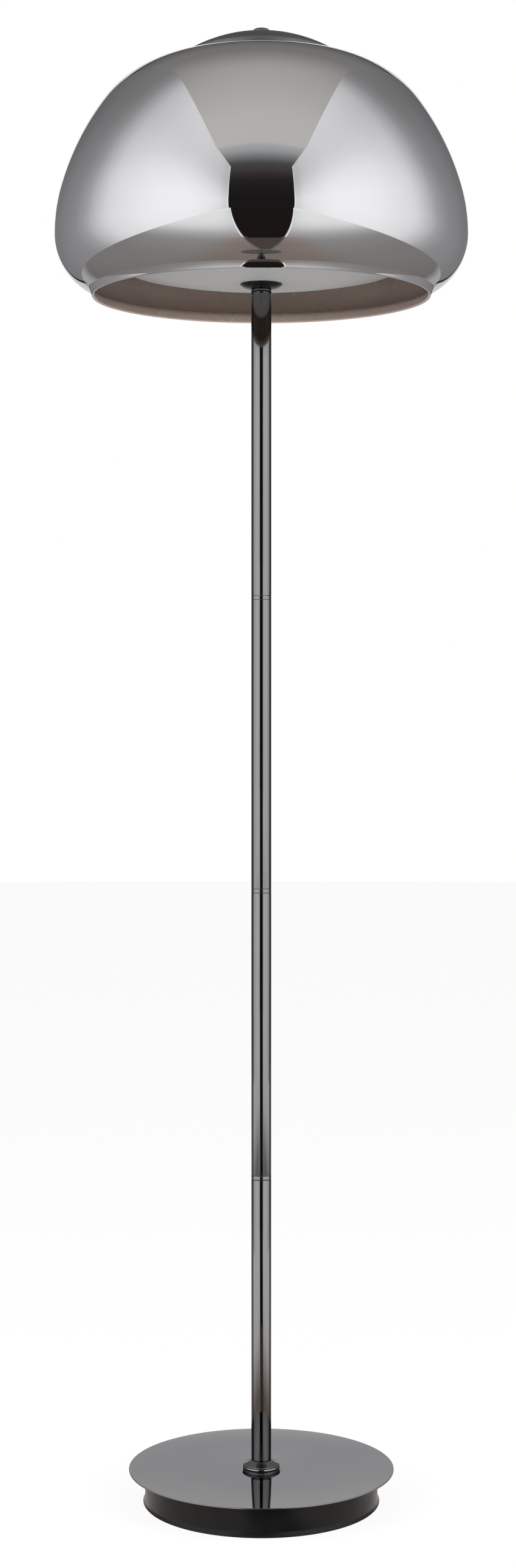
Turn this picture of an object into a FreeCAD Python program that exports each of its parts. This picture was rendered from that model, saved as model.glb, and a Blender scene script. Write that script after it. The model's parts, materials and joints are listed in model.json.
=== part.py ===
import FreeCAD, Part
import math
import os

# Globe floor lamp, in millimetres. The pole's axis is Z, +Z is up and the floor is Z = 0.
# The supply cord enters at the back, +Y.

Vector = FreeCAD.Vector
UP = Vector(0, 0, 1)

# ---------------------------------------------------------------- driving dimensions

# Fits
FIT = 0.05               # radial clearance of a plug in its tube, or of a nut on its thread
PASS = 0.3               # radial clearance of a thread through a plain hole
SEAT_GAP = 0.3           # gap under a curved face that rests on another body
TINY_GAP = 0.02          # gap under a curved face that rests on its own body

# Base
PAD_RADIUS = 9.0
PAD_THICK = 3.0
PAD_INSET = 21.5         # from the drum's side in to the pads' centres
PAD_COUNT = 6
COVER_THICK = 1.5
COVER_GAP = 0.5          # between the cover and the drum's wall
DRUM_RADIUS = 116.5
DRUM_WALL = 1.5
DRUM_HEIGHT = 31.9
DRUM_LIFT = 0.8          # the drum's lower edge stays this far off the floor
HEM_REACH = 1.9          # how far the drum's lower hem flares out
HEM_HEIGHT = 6.0
PLATE_REACH = 16.15      # how far the plate stands out past the drum
PLATE_THICK = 1.5
WEIGHT_INSET = 16.5      # between the drum's side and the weight
WEIGHT_HEIGHT = 23.2
POCKET_RADIUS = 28.0     # hollow under the weight, round the nut
CHANNEL_WIDTH = 44.0     # hollow from there to the back
POCKET_ROOF = 4.2        # iron left above both
BOSS_RADIUS = 7.0
BOSS_INSET = 20.0        # from the weight's side in to its bosses' centres
BOSS_COUNT = 4

# Screws: M4, pan head
SCREW_RADIUS = 1.95
SCREW_CLEARANCE = 0.2
SCREW_LENGTH = 12.0
SCREW_HEAD_RADIUS = 3.5
SCREW_HEAD = 2.0
SLOT_WIDTH = 0.9
SLOT_DEPTH = 0.8

# Wiring in the base
GLAND_Z = 17.0
GLAND_RADIUS = 6.0       # M12 thread
GLAND_BORE = 3.5
GLAND_INSIDE = 11.5      # thread inside the drum
FLANGE_RADIUS = 9.0
FLANGE_THICK = 2.5
GLAND_NOSE_RADIUS = 6.5
GLAND_NOSE = 7.0
GLAND_NUT_FLATS = 16.0
GLAND_NUT_THICK = 4.0
BLOCK_WIDTH = 30.0
BLOCK_DEPTH = 16.0
BLOCK_HEIGHT = 14.0
BLOCK_INSET = 52.0       # from the weight's side in to the terminal block's front face
POLE_PITCH = 9.0         # between its three terminals
TERMINAL_RADIUS = 1.7
TERMINAL_LENGTH = 3.0
TAG_INSET = 14.0         # from the weight's side in to the earth tag's screw
TAG_RADIUS = 4.5
TAG_TAIL = 9.0
TAG_THICK = 1.0
EARTH_SCREW_LENGTH = 4.0
LEAD_RADIUS = 2.75
LEAD_DIP = 4.6           # the lead's centre passes this far over the bottom cover
LEAD_LEVEL_RUN = 24.0
CORE_RADIUS = 1.5

# Threaded pipe M10 x 1, its nuts and washer
PIPE_RADIUS = 5.0
PIPE_BORE = 3.75
NUT_FLATS = 14.0
NUT_THICK = 4.0
NUT_TAIL = 1.0           # pipe that shows past its end nut
WASHER_RADIUS = 15.0
WASHER_THICK = 1.5

# Pole
TUBE_RADIUS = 10.0
TUBE_WALL = 1.2
TUBE_CHAMFER = 0.25
LOWER_TUBE = 283.0       # the two lower tubes
THIRD_TUBE = 287.0
TOP_TUBE = 298.0
RING_HEIGHT = 4.3
RING_CHAMFER = 0.5
COUPLER_GRIP = 22.0
COUPLER_BORE = 6.0
PLUG_LENGTH = 25.0
THREAD_GRIP = 18.0       # length of pipe inside a plug
COLLAR_RADIUS = 18.5
COLLAR_HEIGHT = 7.1
COLLAR_CONE = 3.7        # height of the cone at its top
COLLAR_FOOT = 1.1        # height of the flange at its bottom
COLLAR_GROOVE = 0.8

# Cup and diffuser
NECK_HEIGHT = 5.0
CUP_RADIUS = 21.0
CUP_HEIGHT = 5.0
CUP_WALL = 1.6
DIFFUSER_RADIUS = 137.0
DIFFUSER_RISE = 14.8     # from its centre to its edge
DIFFUSER_THICK = 3.0
SOFT_WASHER_RADIUS = 14.0
SOFT_WASHER_THICK = 2.0

# Lamp cluster
HUB_RISE = 36.0          # hub's middle above the cup's rim
HUB_RADIUS = 23.0
HUB_HEIGHT = 30.0
HUB_WALL = 2.0
HUB_SIDE = 3.0
HUB_LID = 2.0
ARM_COUNT = 3
ARM_FIRST = 90.0         # azimuth of the first arm, degrees
ARM_TILT = 30.0          # above the horizontal, degrees
ARM_DROP = 12.4          # the arms' axes meet this far below the hub's middle
ARM_START = 38.0         # from there to a lampholder's base
ARM_PIPE_START = 21.0
ARM_PIPE_GRIP = 9.0
HOLDER_RADIUS = 19.0
HOLDER_LENGTH = 44.0
HOLDER_FLOOR = 14.0
HOLDER_RIM = 2.0         # radius of its rounded rim
SHELL_WALL = 0.8
SHELL_LENGTH = 22.0
CONTACT_RADIUS = 5.0
CONTACT_HEIGHT = 4.2
CAP_GAP = 0.1            # between a bulb's screw cap and the holder's shell
BULB_CAP_RADIUS = 13.2
BULB_CAP_LENGTH = 25.0
BULB_TIP = 1.5
BULB_NECK_RADIUS = 12.0
BULB_NECK_GRIP = 8.0
BULB_RADIUS = 30.0
BULB_LENGTH = 90.0
BULB_GLASS = 1.0
WINDOW_WIDTH = 4.2       # slots in the rod for the holders' leads
WINDOW_HEIGHT = 8.5

# Glass shade. Its outline is a chain of tangent arcs, whose radii are shares of its own.
SHADE_RADIUS = 204.07
SHADE_GLASS = 3.0
SHADE_UPPER_ARCS = ((0.8095, 16.1), (1.2648, 20.0), (0.5322, 38.0))   # share, and turn in degrees
SHADE_CROWN_SHARE = 0.98   # the last arc, in to the hole
SHADE_LOWER_SHARE = 0.2832   # the arc from the widest ring down to the crease over the neck
SHADE_HOLE = 50.0
SHADE_NECK_RADIUS = 168.0
SHADE_NECK_HEIGHT = 5.6
SHADE_NECK_FLARE = 2.0   # the neck is this much wider at its top
CREASE_RUN = 1.0         # straight run from the lower arc in to the crease
RIM_DROP = 1.9           # the shade's rim hangs this far below the pole's top

# Carrier, cap and finial
GROMMET_WALL = 3.3
GROMMET_LIP = 6.0
GROMMET_THICK = 2.0
CARRIER_RADIUS = 58.0
CARRIER_THICK = 2.5
CARRIER_SPIGOT = 2.0
VENT_RADIUS = 8.0
VENT_CIRCLE = 28.0
VENT_COUNT = 6
CAP_RADIUS = 79.5
CAP_DOME = 163.0
CAP_THICK = 1.2
CAP_EDGE = 4.0           # radius where the dome turns into the skirt
CAP_SKIRT = 4.5
GASKET_THICK = 1.5
GASKET_WIDTH = 2.8
GASKET_LIP = 3.0
FINIAL_RADIUS = 8.4
FINIAL_HEIGHT = 2.4
FINIAL_EDGE = 0.7
FINIAL_NECK_RADIUS = 6.3
FINIAL_NECK = 10.5
FINIAL_CROWN = 2.9       # metal left over the finial's thread
FINIAL_PASS = 0.4        # radial clearance of its neck in the cap
FINIAL_RING_RADIUS = 9.0
FINIAL_RING_THICK = 0.6

# ---------------------------------------------------------------- heights and sizes that follow

COVER_Z = PAD_THICK
COVER_TOP = COVER_Z + COVER_THICK
DECK_Z = DRUM_LIFT + DRUM_HEIGHT
PLATE_TOP = DECK_Z + PLATE_THICK
DRUM_BORE = DRUM_RADIUS - DRUM_WALL
PLATE_RADIUS = DRUM_RADIUS + PLATE_REACH
PAD_CIRCLE = DRUM_RADIUS - PAD_INSET
WEIGHT_RADIUS = DRUM_RADIUS - WEIGHT_INSET
BOSS_CIRCLE = WEIGHT_RADIUS - BOSS_INSET
BLOCK_Y = WEIGHT_RADIUS - BLOCK_INSET
TAG_Y = WEIGHT_RADIUS - TAG_INSET
WEIGHT_TOP = DECK_Z - DRUM_WALL
WEIGHT_Z = WEIGHT_TOP - WEIGHT_HEIGHT
ROOF_Z = WEIGHT_TOP - POCKET_ROOF
BASE_NUT_Z = ROOF_Z - WASHER_THICK - NUT_THICK
POLE_Z = PLATE_TOP + COLLAR_HEIGHT
TUBE_LENGTHS = (LOWER_TUBE, LOWER_TUBE, THIRD_TUBE, TOP_TUBE)
TUBE_BORE = TUBE_RADIUS - TUBE_WALL
POLE_TOP = POLE_Z + sum(TUBE_LENGTHS) + RING_HEIGHT * (len(TUBE_LENGTHS) - 1)
HOLE_RADIUS = PIPE_RADIUS + PASS
CUP_Z = POLE_TOP + NECK_HEIGHT
CUP_TOP = CUP_Z + CUP_HEIGHT
HUB_Z = CUP_TOP + HUB_RISE
ARM_Z = HUB_Z - ARM_DROP
HUB_FLOOR = HUB_Z - HUB_HEIGHT / 2
HUB_TOP = HUB_Z + HUB_HEIGHT / 2
HOLDER_BORE = BULB_CAP_RADIUS + CAP_GAP + SHELL_WALL + FIT
TIP_START = HOLDER_FLOOR + CONTACT_HEIGHT + SEAT_GAP
BULB_START = TIP_START + BULB_TIP
RIM_Z = POLE_TOP - RIM_DROP
DISH_RADIUS = DIFFUSER_RADIUS - DIFFUSER_THICK * 0.4


# ---------------------------------------------------------------- drawing tools

def point(r, z):
    """A point of an outline: its distance from the axis and its height."""
    return Vector(r, 0, z)


def outline(*steps):
    """A closed outline. A step is a corner (r, z), or an arc's middle and end ((r, z), (r, z))."""
    first = point(*steps[0])
    here = first
    edges = []
    for step in steps[1:]:
        if isinstance(step[0], tuple):
            end = point(*step[1])
            edges.append(Part.Arc(here, point(*step[0]), end).toShape())
        else:
            end = point(*step)
            edges.append(Part.LineSegment(here, end).toShape())
        here = end
    edges.append(Part.LineSegment(here, first).toShape())
    return edges


def turned(edges):
    """The solid that an outline makes when it turns about the Z axis."""
    face = Part.Face(Part.Wire(Part.sortEdges(edges)[0]))
    return face.revolve(Vector(), UP, 360)


def ring(inner, outer, low, high, chamfer=0.0):
    """A tube, ring or washer, with its two outer edges chamfered where that is asked for."""
    if chamfer == 0.0:
        return turned(outline((inner, low), (outer, low), (outer, high), (inner, high)))
    return turned(outline(
        (inner, low), (outer - chamfer, low), (outer, low + chamfer),
        (outer, high - chamfer), (outer - chamfer, high), (inner, high)))


def hex_nut(flats, bore, low, high):
    """A hexagonal nut on the Z axis."""
    corners = []
    for k in range(6):
        angle = math.radians(60 * k)
        reach = flats / 2 / math.cos(math.radians(30))
        corners.append(Vector(reach * math.cos(angle), reach * math.sin(angle), low))
    hexagon = Part.Face(Part.makePolygon(corners + corners[:1]))
    return hexagon.extrude(UP * (high - low)).cut(rod(bore, low, high))


def rod(radius, low, high, x=0.0, y=0.0):
    """A plain upright cylinder."""
    return Part.makeCylinder(radius, high - low, Vector(x, y, low))


def around(shape, count, first=0.0):
    """Copies of a shape, evenly spaced about the Z axis."""
    copies = []
    for k in range(count):
        copy = shape.copy()
        copy.rotate(Vector(), UP, first + 360.0 * k / count)
        copies.append(copy)
    return copies


def pan_screw(x, y, head_z, length):
    """A slotted pan head screw that points up from the underside of what it holds."""
    rim = SCREW_HEAD * 0.5
    head = turned(outline(
        (0, head_z), (SCREW_HEAD_RADIUS, head_z), (SCREW_HEAD_RADIUS, head_z - SCREW_HEAD + rim),
        ((SCREW_HEAD_RADIUS * 0.8, head_z - SCREW_HEAD * 0.85),
         (SCREW_HEAD_RADIUS * 0.45, head_z - SCREW_HEAD)),
        (0, head_z - SCREW_HEAD)))
    slot = Part.makeBox(3 * SCREW_HEAD_RADIUS, SLOT_WIDTH, SLOT_DEPTH,
                        Vector(-1.5 * SCREW_HEAD_RADIUS, -SLOT_WIDTH / 2, head_z - SCREW_HEAD))
    screw = head.fuse(rod(SCREW_RADIUS, head_z, head_z + length)).cut(slot)
    screw.translate(Vector(x, y, 0))
    return screw


def chain(start, heading, arcs, side):
    """Arcs that follow each other in line from a point. Side is 1 for left turns, -1 for right."""
    edges = []
    here = start
    for radius, turn in arcs:
        reach = side * radius
        centre = (here[0] - reach * math.sin(heading), here[1] + reach * math.cos(heading))
        stops = []
        for share in (0.5, 1.0):
            angle = heading + side * math.radians(turn) * share
            stops.append((centre[0] + reach * math.sin(angle), centre[1] - reach * math.cos(angle)))
        edges.append(Part.Arc(point(*here), point(*stops[0]), point(*stops[1])).toShape())
        here = stops[1]
        heading = angle
    return edges, here, heading


def on_arm(shape, arm):
    """Puts a shape that was drawn on the Z axis on a lamp arm, its origin where the arms meet."""
    placed = shape.copy()
    placed.rotate(Vector(), Vector(0, 1, 0), 90 - ARM_TILT)
    placed.rotate(Vector(), UP, ARM_FIRST + 360.0 * arm / ARM_COUNT)
    placed.translate(Vector(0, 0, ARM_Z))
    return placed


def on_every_arm(shape):
    """One copy of a shape on each lamp arm, as a group."""
    return Part.makeCompound([on_arm(shape, arm) for arm in range(ARM_COUNT)])


def lead(corners, radius):
    """A round lead along straight runs that are joined by the largest arcs that they allow."""
    edges = []
    here = corners[0]
    for before, corner, after in zip(corners, corners[1:], corners[2:]):
        back = (before - corner).normalize()
        ahead = (after - corner).normalize()
        half_turn = (math.pi - back.getAngle(ahead)) / 2
        trim = 0.45 * min((before - corner).Length, (after - corner).Length)
        bend = trim / math.tan(half_turn)
        print("lead bend radius", round(bend, 2))
        enter = corner + back * trim
        leave = corner + ahead * trim
        middle_way = (back + ahead).normalize()
        middle = corner + middle_way * (bend / math.cos(half_turn) - bend)
        edges.append(Part.LineSegment(here, enter).toShape())
        edges.append(Part.Arc(enter, middle, leave).toShape())
        here = leave
    edges.append(Part.LineSegment(here, corners[-1]).toShape())
    path = Part.Wire(edges)
    section = Part.Wire(Part.makeCircle(radius, corners[0], corners[1] - corners[0]))
    pipe = path.makePipeShell([section], True, False)
    print("lead volume", round(pipe.Volume, 1), "section times length",
          round(math.pi * radius ** 2 * path.Length, 1))
    return pipe


# ---------------------------------------------------------------- base

def foot_pads():
    """Soft round pads under the bottom cover, which the lamp stands on."""
    pad = ring(0, PAD_RADIUS, 0, PAD_THICK, PAD_THICK / 6)
    pad.translate(Vector(PAD_CIRCLE, 0, 0))
    return Part.makeCompound(around(pad, PAD_COUNT))


def boss_places():
    """Centres of the weight's bosses, which are also those of the cover's screws."""
    places = []
    for k in range(BOSS_COUNT):
        angle = math.radians(360.0 * (k + 0.5) / BOSS_COUNT)
        places.append((BOSS_CIRCLE * math.cos(angle), BOSS_CIRCLE * math.sin(angle)))
    return places


def bottom_cover():
    """Sheet disc that closes the drum from below."""
    cover = rod(DRUM_BORE - COVER_GAP, COVER_Z, COVER_TOP)
    for x, y in boss_places():
        cover = cover.cut(rod(SCREW_RADIUS + SCREW_CLEARANCE, COVER_Z, COVER_TOP, x, y))
    return cover


def cover_screws():
    """Screws from below, through the cover and into the weight's bosses."""
    return Part.makeCompound([pan_screw(x, y, COVER_Z, SCREW_LENGTH) for x, y in boss_places()])


def facing_back(shape, y):
    """Turns a shape that was drawn on the Z axis to point to the back, at the gland's height."""
    placed = shape.copy()
    placed.rotate(Vector(), Vector(1, 0, 0), -90)
    placed.translate(Vector(0, y, GLAND_Z))
    return placed


def base_housing():
    """Spun steel drum, open below, with a flared hem and a hole for the gland."""
    edge = DRUM_WALL * 0.6
    hem = DRUM_RADIUS + HEM_REACH
    wall = turned(outline(
        (HOLE_RADIUS, DECK_Z), (DRUM_RADIUS - edge, DECK_Z),
        ((DRUM_RADIUS - edge * 0.293, DECK_Z - edge * 0.293), (DRUM_RADIUS, DECK_Z - edge)),
        (DRUM_RADIUS, DRUM_LIFT + HEM_HEIGHT),
        ((DRUM_RADIUS + HEM_REACH * 0.25, DRUM_LIFT + HEM_HEIGHT * 0.5), (hem, DRUM_LIFT + edge)),
        ((hem - edge * 0.293, DRUM_LIFT + edge * 0.293), (hem - edge, DRUM_LIFT)),
        (DRUM_BORE, DRUM_LIFT), (DRUM_BORE, DECK_Z - DRUM_WALL), (HOLE_RADIUS, DECK_Z - DRUM_WALL)))
    hole = facing_back(rod(GLAND_RADIUS + PASS / 2, 0, DRUM_RADIUS), DRUM_BORE / 2)
    return wall.cut(hole)


def base_plate():
    """Thin polished plate on the drum."""
    return ring(HOLE_RADIUS, PLATE_RADIUS, DECK_Z, PLATE_TOP, PLATE_THICK * 0.2)


def base_weight():
    """Cast iron disc with a pocket and a channel for the wiring, and bosses for the cover."""
    weight = ring(HOLE_RADIUS, WEIGHT_RADIUS, WEIGHT_Z, WEIGHT_TOP, 1.0)
    for x, y in boss_places():
        weight = weight.fuse(rod(BOSS_RADIUS, COVER_TOP, WEIGHT_TOP - POCKET_ROOF, x, y))
    weight = weight.cut(rod(POCKET_RADIUS, WEIGHT_Z, ROOF_Z))
    channel = Part.makeBox(CHANNEL_WIDTH, WEIGHT_RADIUS + 1, ROOF_Z - WEIGHT_Z,
                           Vector(-CHANNEL_WIDTH / 2, 0, WEIGHT_Z))
    weight = weight.cut(channel)
    for x, y in boss_places():
        depth = SCREW_LENGTH - COVER_THICK + 1
        weight = weight.cut(rod(SCREW_RADIUS + FIT, COVER_TOP, COVER_TOP + depth, x, y))
    depth = EARTH_SCREW_LENGTH - TAG_THICK + 0.5
    weight = weight.cut(rod(SCREW_RADIUS + FIT, ROOF_Z, ROOF_Z + depth, 0, TAG_Y))
    return weight.removeSplitter()


def cord_gland():
    """Gland for the supply cord in the drum's back: nose, flange and thread, with its bore."""
    flange_z = GLAND_INSIDE
    nose_z = flange_z + FLANGE_THICK
    end_z = nose_z + GLAND_NOSE
    gland = turned(outline(
        (GLAND_BORE, 0), (GLAND_RADIUS, 0), (GLAND_RADIUS, flange_z), (FLANGE_RADIUS, flange_z),
        (FLANGE_RADIUS, nose_z - 0.6), (FLANGE_RADIUS - 0.6, nose_z), (GLAND_NOSE_RADIUS + 1, nose_z),
        (GLAND_NOSE_RADIUS, end_z - 1),
        ((GLAND_NOSE_RADIUS - 0.3, end_z - 0.3), (GLAND_NOSE_RADIUS - 1, end_z)),
        (GLAND_BORE, end_z)))
    return facing_back(gland, DRUM_RADIUS - flange_z)


def gland_nut():
    """Nut that holds the gland from inside the drum."""
    corner = GLAND_NUT_FLATS / 2 / math.cos(math.radians(30))
    nut = hex_nut(GLAND_NUT_FLATS, GLAND_RADIUS + FIT, 0, GLAND_NUT_THICK)
    seat = math.sqrt(DRUM_BORE ** 2 - corner ** 2)
    return facing_back(nut, seat - GLAND_NUT_THICK)


def terminal_places():
    """Centres of the terminal block's screws."""
    rows = (BLOCK_Y + BLOCK_DEPTH * 0.25, BLOCK_Y + BLOCK_DEPTH * 0.75)
    return [(POLE_PITCH * column, y) for column in (-1, 0, 1) for y in rows]


def terminal_block():
    """Three-way terminal block under the weight's channel roof."""
    block = Part.makeBox(BLOCK_WIDTH, BLOCK_DEPTH, BLOCK_HEIGHT,
                         Vector(-BLOCK_WIDTH / 2, BLOCK_Y, ROOF_Z - BLOCK_HEIGHT))
    upright = [edge for edge in block.Edges if edge.Length == BLOCK_HEIGHT]
    block = block.makeFillet(1.0, upright)
    low = ROOF_Z - BLOCK_HEIGHT
    for x, y in terminal_places():
        block = block.cut(rod(TERMINAL_RADIUS + FIT, low, low + TERMINAL_LENGTH + 1, x, y))
    return block


def terminal_screws():
    """The block's slotted screws, sunk in its underside."""
    low = ROOF_Z - BLOCK_HEIGHT
    screws = []
    for x, y in terminal_places():
        screw = rod(TERMINAL_RADIUS, low + 1, low + 1 + TERMINAL_LENGTH, x, y)
        slot = Part.makeBox(4 * TERMINAL_RADIUS, TERMINAL_RADIUS / 3, TERMINAL_RADIUS / 2,
                            Vector(x - 2 * TERMINAL_RADIUS, y - TERMINAL_RADIUS / 6, low + 1))
        screws.append(screw.cut(slot))
    return Part.makeCompound(screws)


def earth_tag():
    """Brass ring tag under the channel roof, with its tail towards the terminal block."""
    eye = rod(TAG_RADIUS, ROOF_Z - TAG_THICK, ROOF_Z, 0, TAG_Y)
    tail = Part.makeBox(TAG_RADIUS, TAG_TAIL, TAG_THICK,
                        Vector(-TAG_RADIUS / 2, TAG_Y - TAG_TAIL, ROOF_Z - TAG_THICK))
    hole = rod(SCREW_RADIUS + FIT, ROOF_Z - TAG_THICK, ROOF_Z, 0, TAG_Y)
    return eye.fuse(tail).cut(hole).removeSplitter()


def earth_screw():
    """Screw that holds the earth tag to the weight."""
    return pan_screw(0, TAG_Y, ROOF_Z - TAG_THICK, EARTH_SCREW_LENGTH)


def base_nipple():
    """Threaded pipe that clamps the weight, drum, plate, collar and pole together."""
    return ring(PIPE_BORE, PIPE_RADIUS, BASE_NUT_Z - NUT_TAIL, POLE_Z + THREAD_GRIP)


def base_washer():
    """Wide washer under the weight."""
    return ring(HOLE_RADIUS, WASHER_RADIUS, ROOF_Z - WASHER_THICK, ROOF_Z)


def pipe_nut(low):
    """Nut for the threaded pipe, from the given height up."""
    return hex_nut(NUT_FLATS, PIPE_RADIUS + FIT, low, low + NUT_THICK)


def base_collar():
    """Flared collar at the pole's foot: a cone over a grooved flange."""
    rim_z = POLE_Z - COLLAR_CONE
    foot_z = PLATE_TOP + COLLAR_FOOT
    groove_z = (rim_z - 0.6 + foot_z) / 2
    return turned(outline(
        (HOLE_RADIUS, PLATE_TOP), (COLLAR_RADIUS - 0.5, PLATE_TOP),
        ((COLLAR_RADIUS - 0.1, PLATE_TOP + COLLAR_FOOT / 2), (COLLAR_RADIUS - 0.4, foot_z)),
        ((COLLAR_RADIUS - COLLAR_GROOVE, groove_z), (COLLAR_RADIUS - 0.2, rim_z - 0.6)),
        ((COLLAR_RADIUS, rim_z - 0.3), (COLLAR_RADIUS - 0.2, rim_z)),
        ((TUBE_RADIUS + 3.6, rim_z + COLLAR_CONE * 0.46), (TUBE_RADIUS, POLE_Z)),
        (HOLE_RADIUS, POLE_Z)))


# ---------------------------------------------------------------- pole

def tube_start(index):
    """Height of the lower end of a pole tube."""
    return POLE_Z + sum(TUBE_LENGTHS[:index]) + RING_HEIGHT * index


def pole_tube(index):
    """One tube of the pole."""
    low = tube_start(index)
    return ring(TUBE_BORE, TUBE_RADIUS, low, low + TUBE_LENGTHS[index], TUBE_CHAMFER)


def joint_ring(index):
    """Ring that shows between a tube and the next."""
    high = tube_start(index + 1)
    return ring(TUBE_BORE, TUBE_RADIUS, high - RING_HEIGHT, high, RING_CHAMFER)


def tube_coupler(index):
    """Hollow coupler inside two tubes and their ring."""
    high = tube_start(index + 1) + COUPLER_GRIP
    low = tube_start(index + 1) - RING_HEIGHT - COUPLER_GRIP
    return ring(COUPLER_BORE, TUBE_BORE - FIT, low, high)


def tube_plug(low):
    """Threaded plug in a pole's end."""
    return ring(PIPE_RADIUS + FIT, TUBE_BORE - FIT, low, low + PLUG_LENGTH)


def neck_ring():
    """Ring on the pole's top."""
    return ring(HOLE_RADIUS, TUBE_RADIUS, POLE_TOP, CUP_Z, RING_CHAMFER)


# ---------------------------------------------------------------- cup and diffuser

def shade_cup():
    """Small dished cup that carries the diffuser on its rim."""
    lip = CUP_RADIUS - CUP_WALL
    return turned(outline(
        (HOLE_RADIUS, CUP_Z), (TUBE_RADIUS, CUP_Z),
        ((CUP_RADIUS - 3.6, CUP_Z + CUP_HEIGHT * 0.34), (CUP_RADIUS, CUP_TOP)), (lip, CUP_TOP),
        ((lip - 3.4, CUP_Z + CUP_WALL + CUP_HEIGHT * 0.24), (TUBE_RADIUS - 1, CUP_Z + CUP_WALL)),
        (HOLE_RADIUS, CUP_Z + CUP_WALL)))


def dish_height(r):
    """Height of the diffuser's underside over its centre."""
    dish = (DISH_RADIUS ** 2 + DIFFUSER_RISE ** 2) / (2 * DIFFUSER_RISE)
    return dish - math.sqrt(dish ** 2 - r ** 2)


DISH_Z = CUP_TOP - dish_height(CUP_RADIUS - CUP_WALL) + TINY_GAP
SOFT_WASHER_Z = DISH_Z + DIFFUSER_THICK + dish_height(SOFT_WASHER_RADIUS) + TINY_GAP


def diffuser():
    """Shallow opal dish with a rounded edge."""
    middle = DISH_RADIUS / 2
    edge_z = DISH_Z + DIFFUSER_RISE
    inner_z = DISH_Z + dish_height(HOLE_RADIUS)
    return turned(outline(
        (HOLE_RADIUS, inner_z), ((middle, DISH_Z + dish_height(middle)), (DISH_RADIUS, edge_z)),
        ((DIFFUSER_RADIUS, edge_z + DIFFUSER_THICK / 2), (DISH_RADIUS, edge_z + DIFFUSER_THICK)),
        ((middle, DISH_Z + dish_height(middle) + DIFFUSER_THICK), (HOLE_RADIUS, inner_z + DIFFUSER_THICK))))


def diffuser_washer():
    """Soft washer on the diffuser."""
    return ring(HOLE_RADIUS, SOFT_WASHER_RADIUS, SOFT_WASHER_Z, SOFT_WASHER_Z + SOFT_WASHER_THICK)


# ---------------------------------------------------------------- lamp cluster

def lamp_hub():
    """Turned hub, open above, with a tilted hole for each arm."""
    inside = HUB_RADIUS - HUB_SIDE
    hub = turned(outline(
        (HOLE_RADIUS, HUB_FLOOR), (HUB_RADIUS - 1, HUB_FLOOR), (HUB_RADIUS, HUB_FLOOR + 1),
        (HUB_RADIUS, HUB_TOP), (inside, HUB_TOP), (inside, HUB_FLOOR + HUB_WALL),
        (HOLE_RADIUS, HUB_FLOOR + HUB_WALL)))
    for arm in range(ARM_COUNT):
        hub = hub.cut(on_arm(rod(PIPE_RADIUS + FIT, ARM_PIPE_START - 6, ARM_START), arm))
    return hub


def hub_cover():
    """Lid of the hub, with a step that centres it."""
    inside = HUB_RADIUS - HUB_SIDE - FIT
    return turned(outline(
        (HOLE_RADIUS, HUB_TOP - HUB_LID), (inside, HUB_TOP - HUB_LID), (inside, HUB_TOP),
        (HUB_RADIUS, HUB_TOP), (HUB_RADIUS, HUB_TOP + HUB_LID - 0.5), (HUB_RADIUS - 0.5, HUB_TOP + HUB_LID),
        (HOLE_RADIUS, HUB_TOP + HUB_LID)))


def hub_nuts():
    """Nuts on the rod, under the hub and over its lid."""
    return Part.makeCompound([pipe_nut(HUB_FLOOR - NUT_THICK), pipe_nut(HUB_TOP + HUB_LID)])


def arm_nipples():
    """Short threaded pipes from the hub into the lampholders."""
    return on_every_arm(ring(PIPE_BORE, PIPE_RADIUS, ARM_PIPE_START, ARM_START + ARM_PIPE_GRIP))


def lampholder():
    """Lampholder body: a deep cup with a thread for the arm in its base."""
    end = HOLDER_LENGTH
    body = turned(outline(
        (PIPE_RADIUS + FIT, 0), (HOLDER_RADIUS - 3, 0), ((HOLDER_RADIUS - 0.9, 0.9), (HOLDER_RADIUS, 3)),
        (HOLDER_RADIUS, end - HOLDER_RIM),
        ((HOLDER_RADIUS - HOLDER_RIM * 0.293, end - HOLDER_RIM * 0.293), (HOLDER_RADIUS - HOLDER_RIM, end)),
        (HOLDER_BORE, end), (HOLDER_BORE, HOLDER_FLOOR), (CORE_RADIUS + FIT, HOLDER_FLOOR),
        (CORE_RADIUS + FIT, ARM_PIPE_GRIP + FIT), (PIPE_RADIUS + FIT, ARM_PIPE_GRIP + FIT)))
    body.translate(Vector(0, 0, ARM_START))
    return body


def holder_shells():
    """Threaded metal shells of the lampholders."""
    inner = BULB_CAP_RADIUS + CAP_GAP
    low = ARM_START + BULB_START
    return on_every_arm(ring(inner, inner + SHELL_WALL, low, low + SHELL_LENGTH))


def holder_contacts():
    """Centre contacts at the bottom of the lampholders."""
    low = ARM_START + HOLDER_FLOOR
    return on_every_arm(ring(0, CONTACT_RADIUS, low, low + CONTACT_HEIGHT, CONTACT_HEIGHT / 5))


def bulb_cap():
    """Screw cap of a bulb, with its tip, hollow above for the bulb's neck."""
    low = ARM_START + BULB_START
    top = low + BULB_CAP_LENGTH
    seat = BULB_NECK_RADIUS + FIT
    return turned(outline(
        (0, low - BULB_TIP), (CONTACT_RADIUS - 1, low - BULB_TIP), (CONTACT_RADIUS, low),
        (BULB_CAP_RADIUS - 3, low), (BULB_CAP_RADIUS, low + 3), (BULB_CAP_RADIUS, top),
        (seat, top), (seat, top - BULB_NECK_GRIP), (0, top - BULB_NECK_GRIP)))


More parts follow.
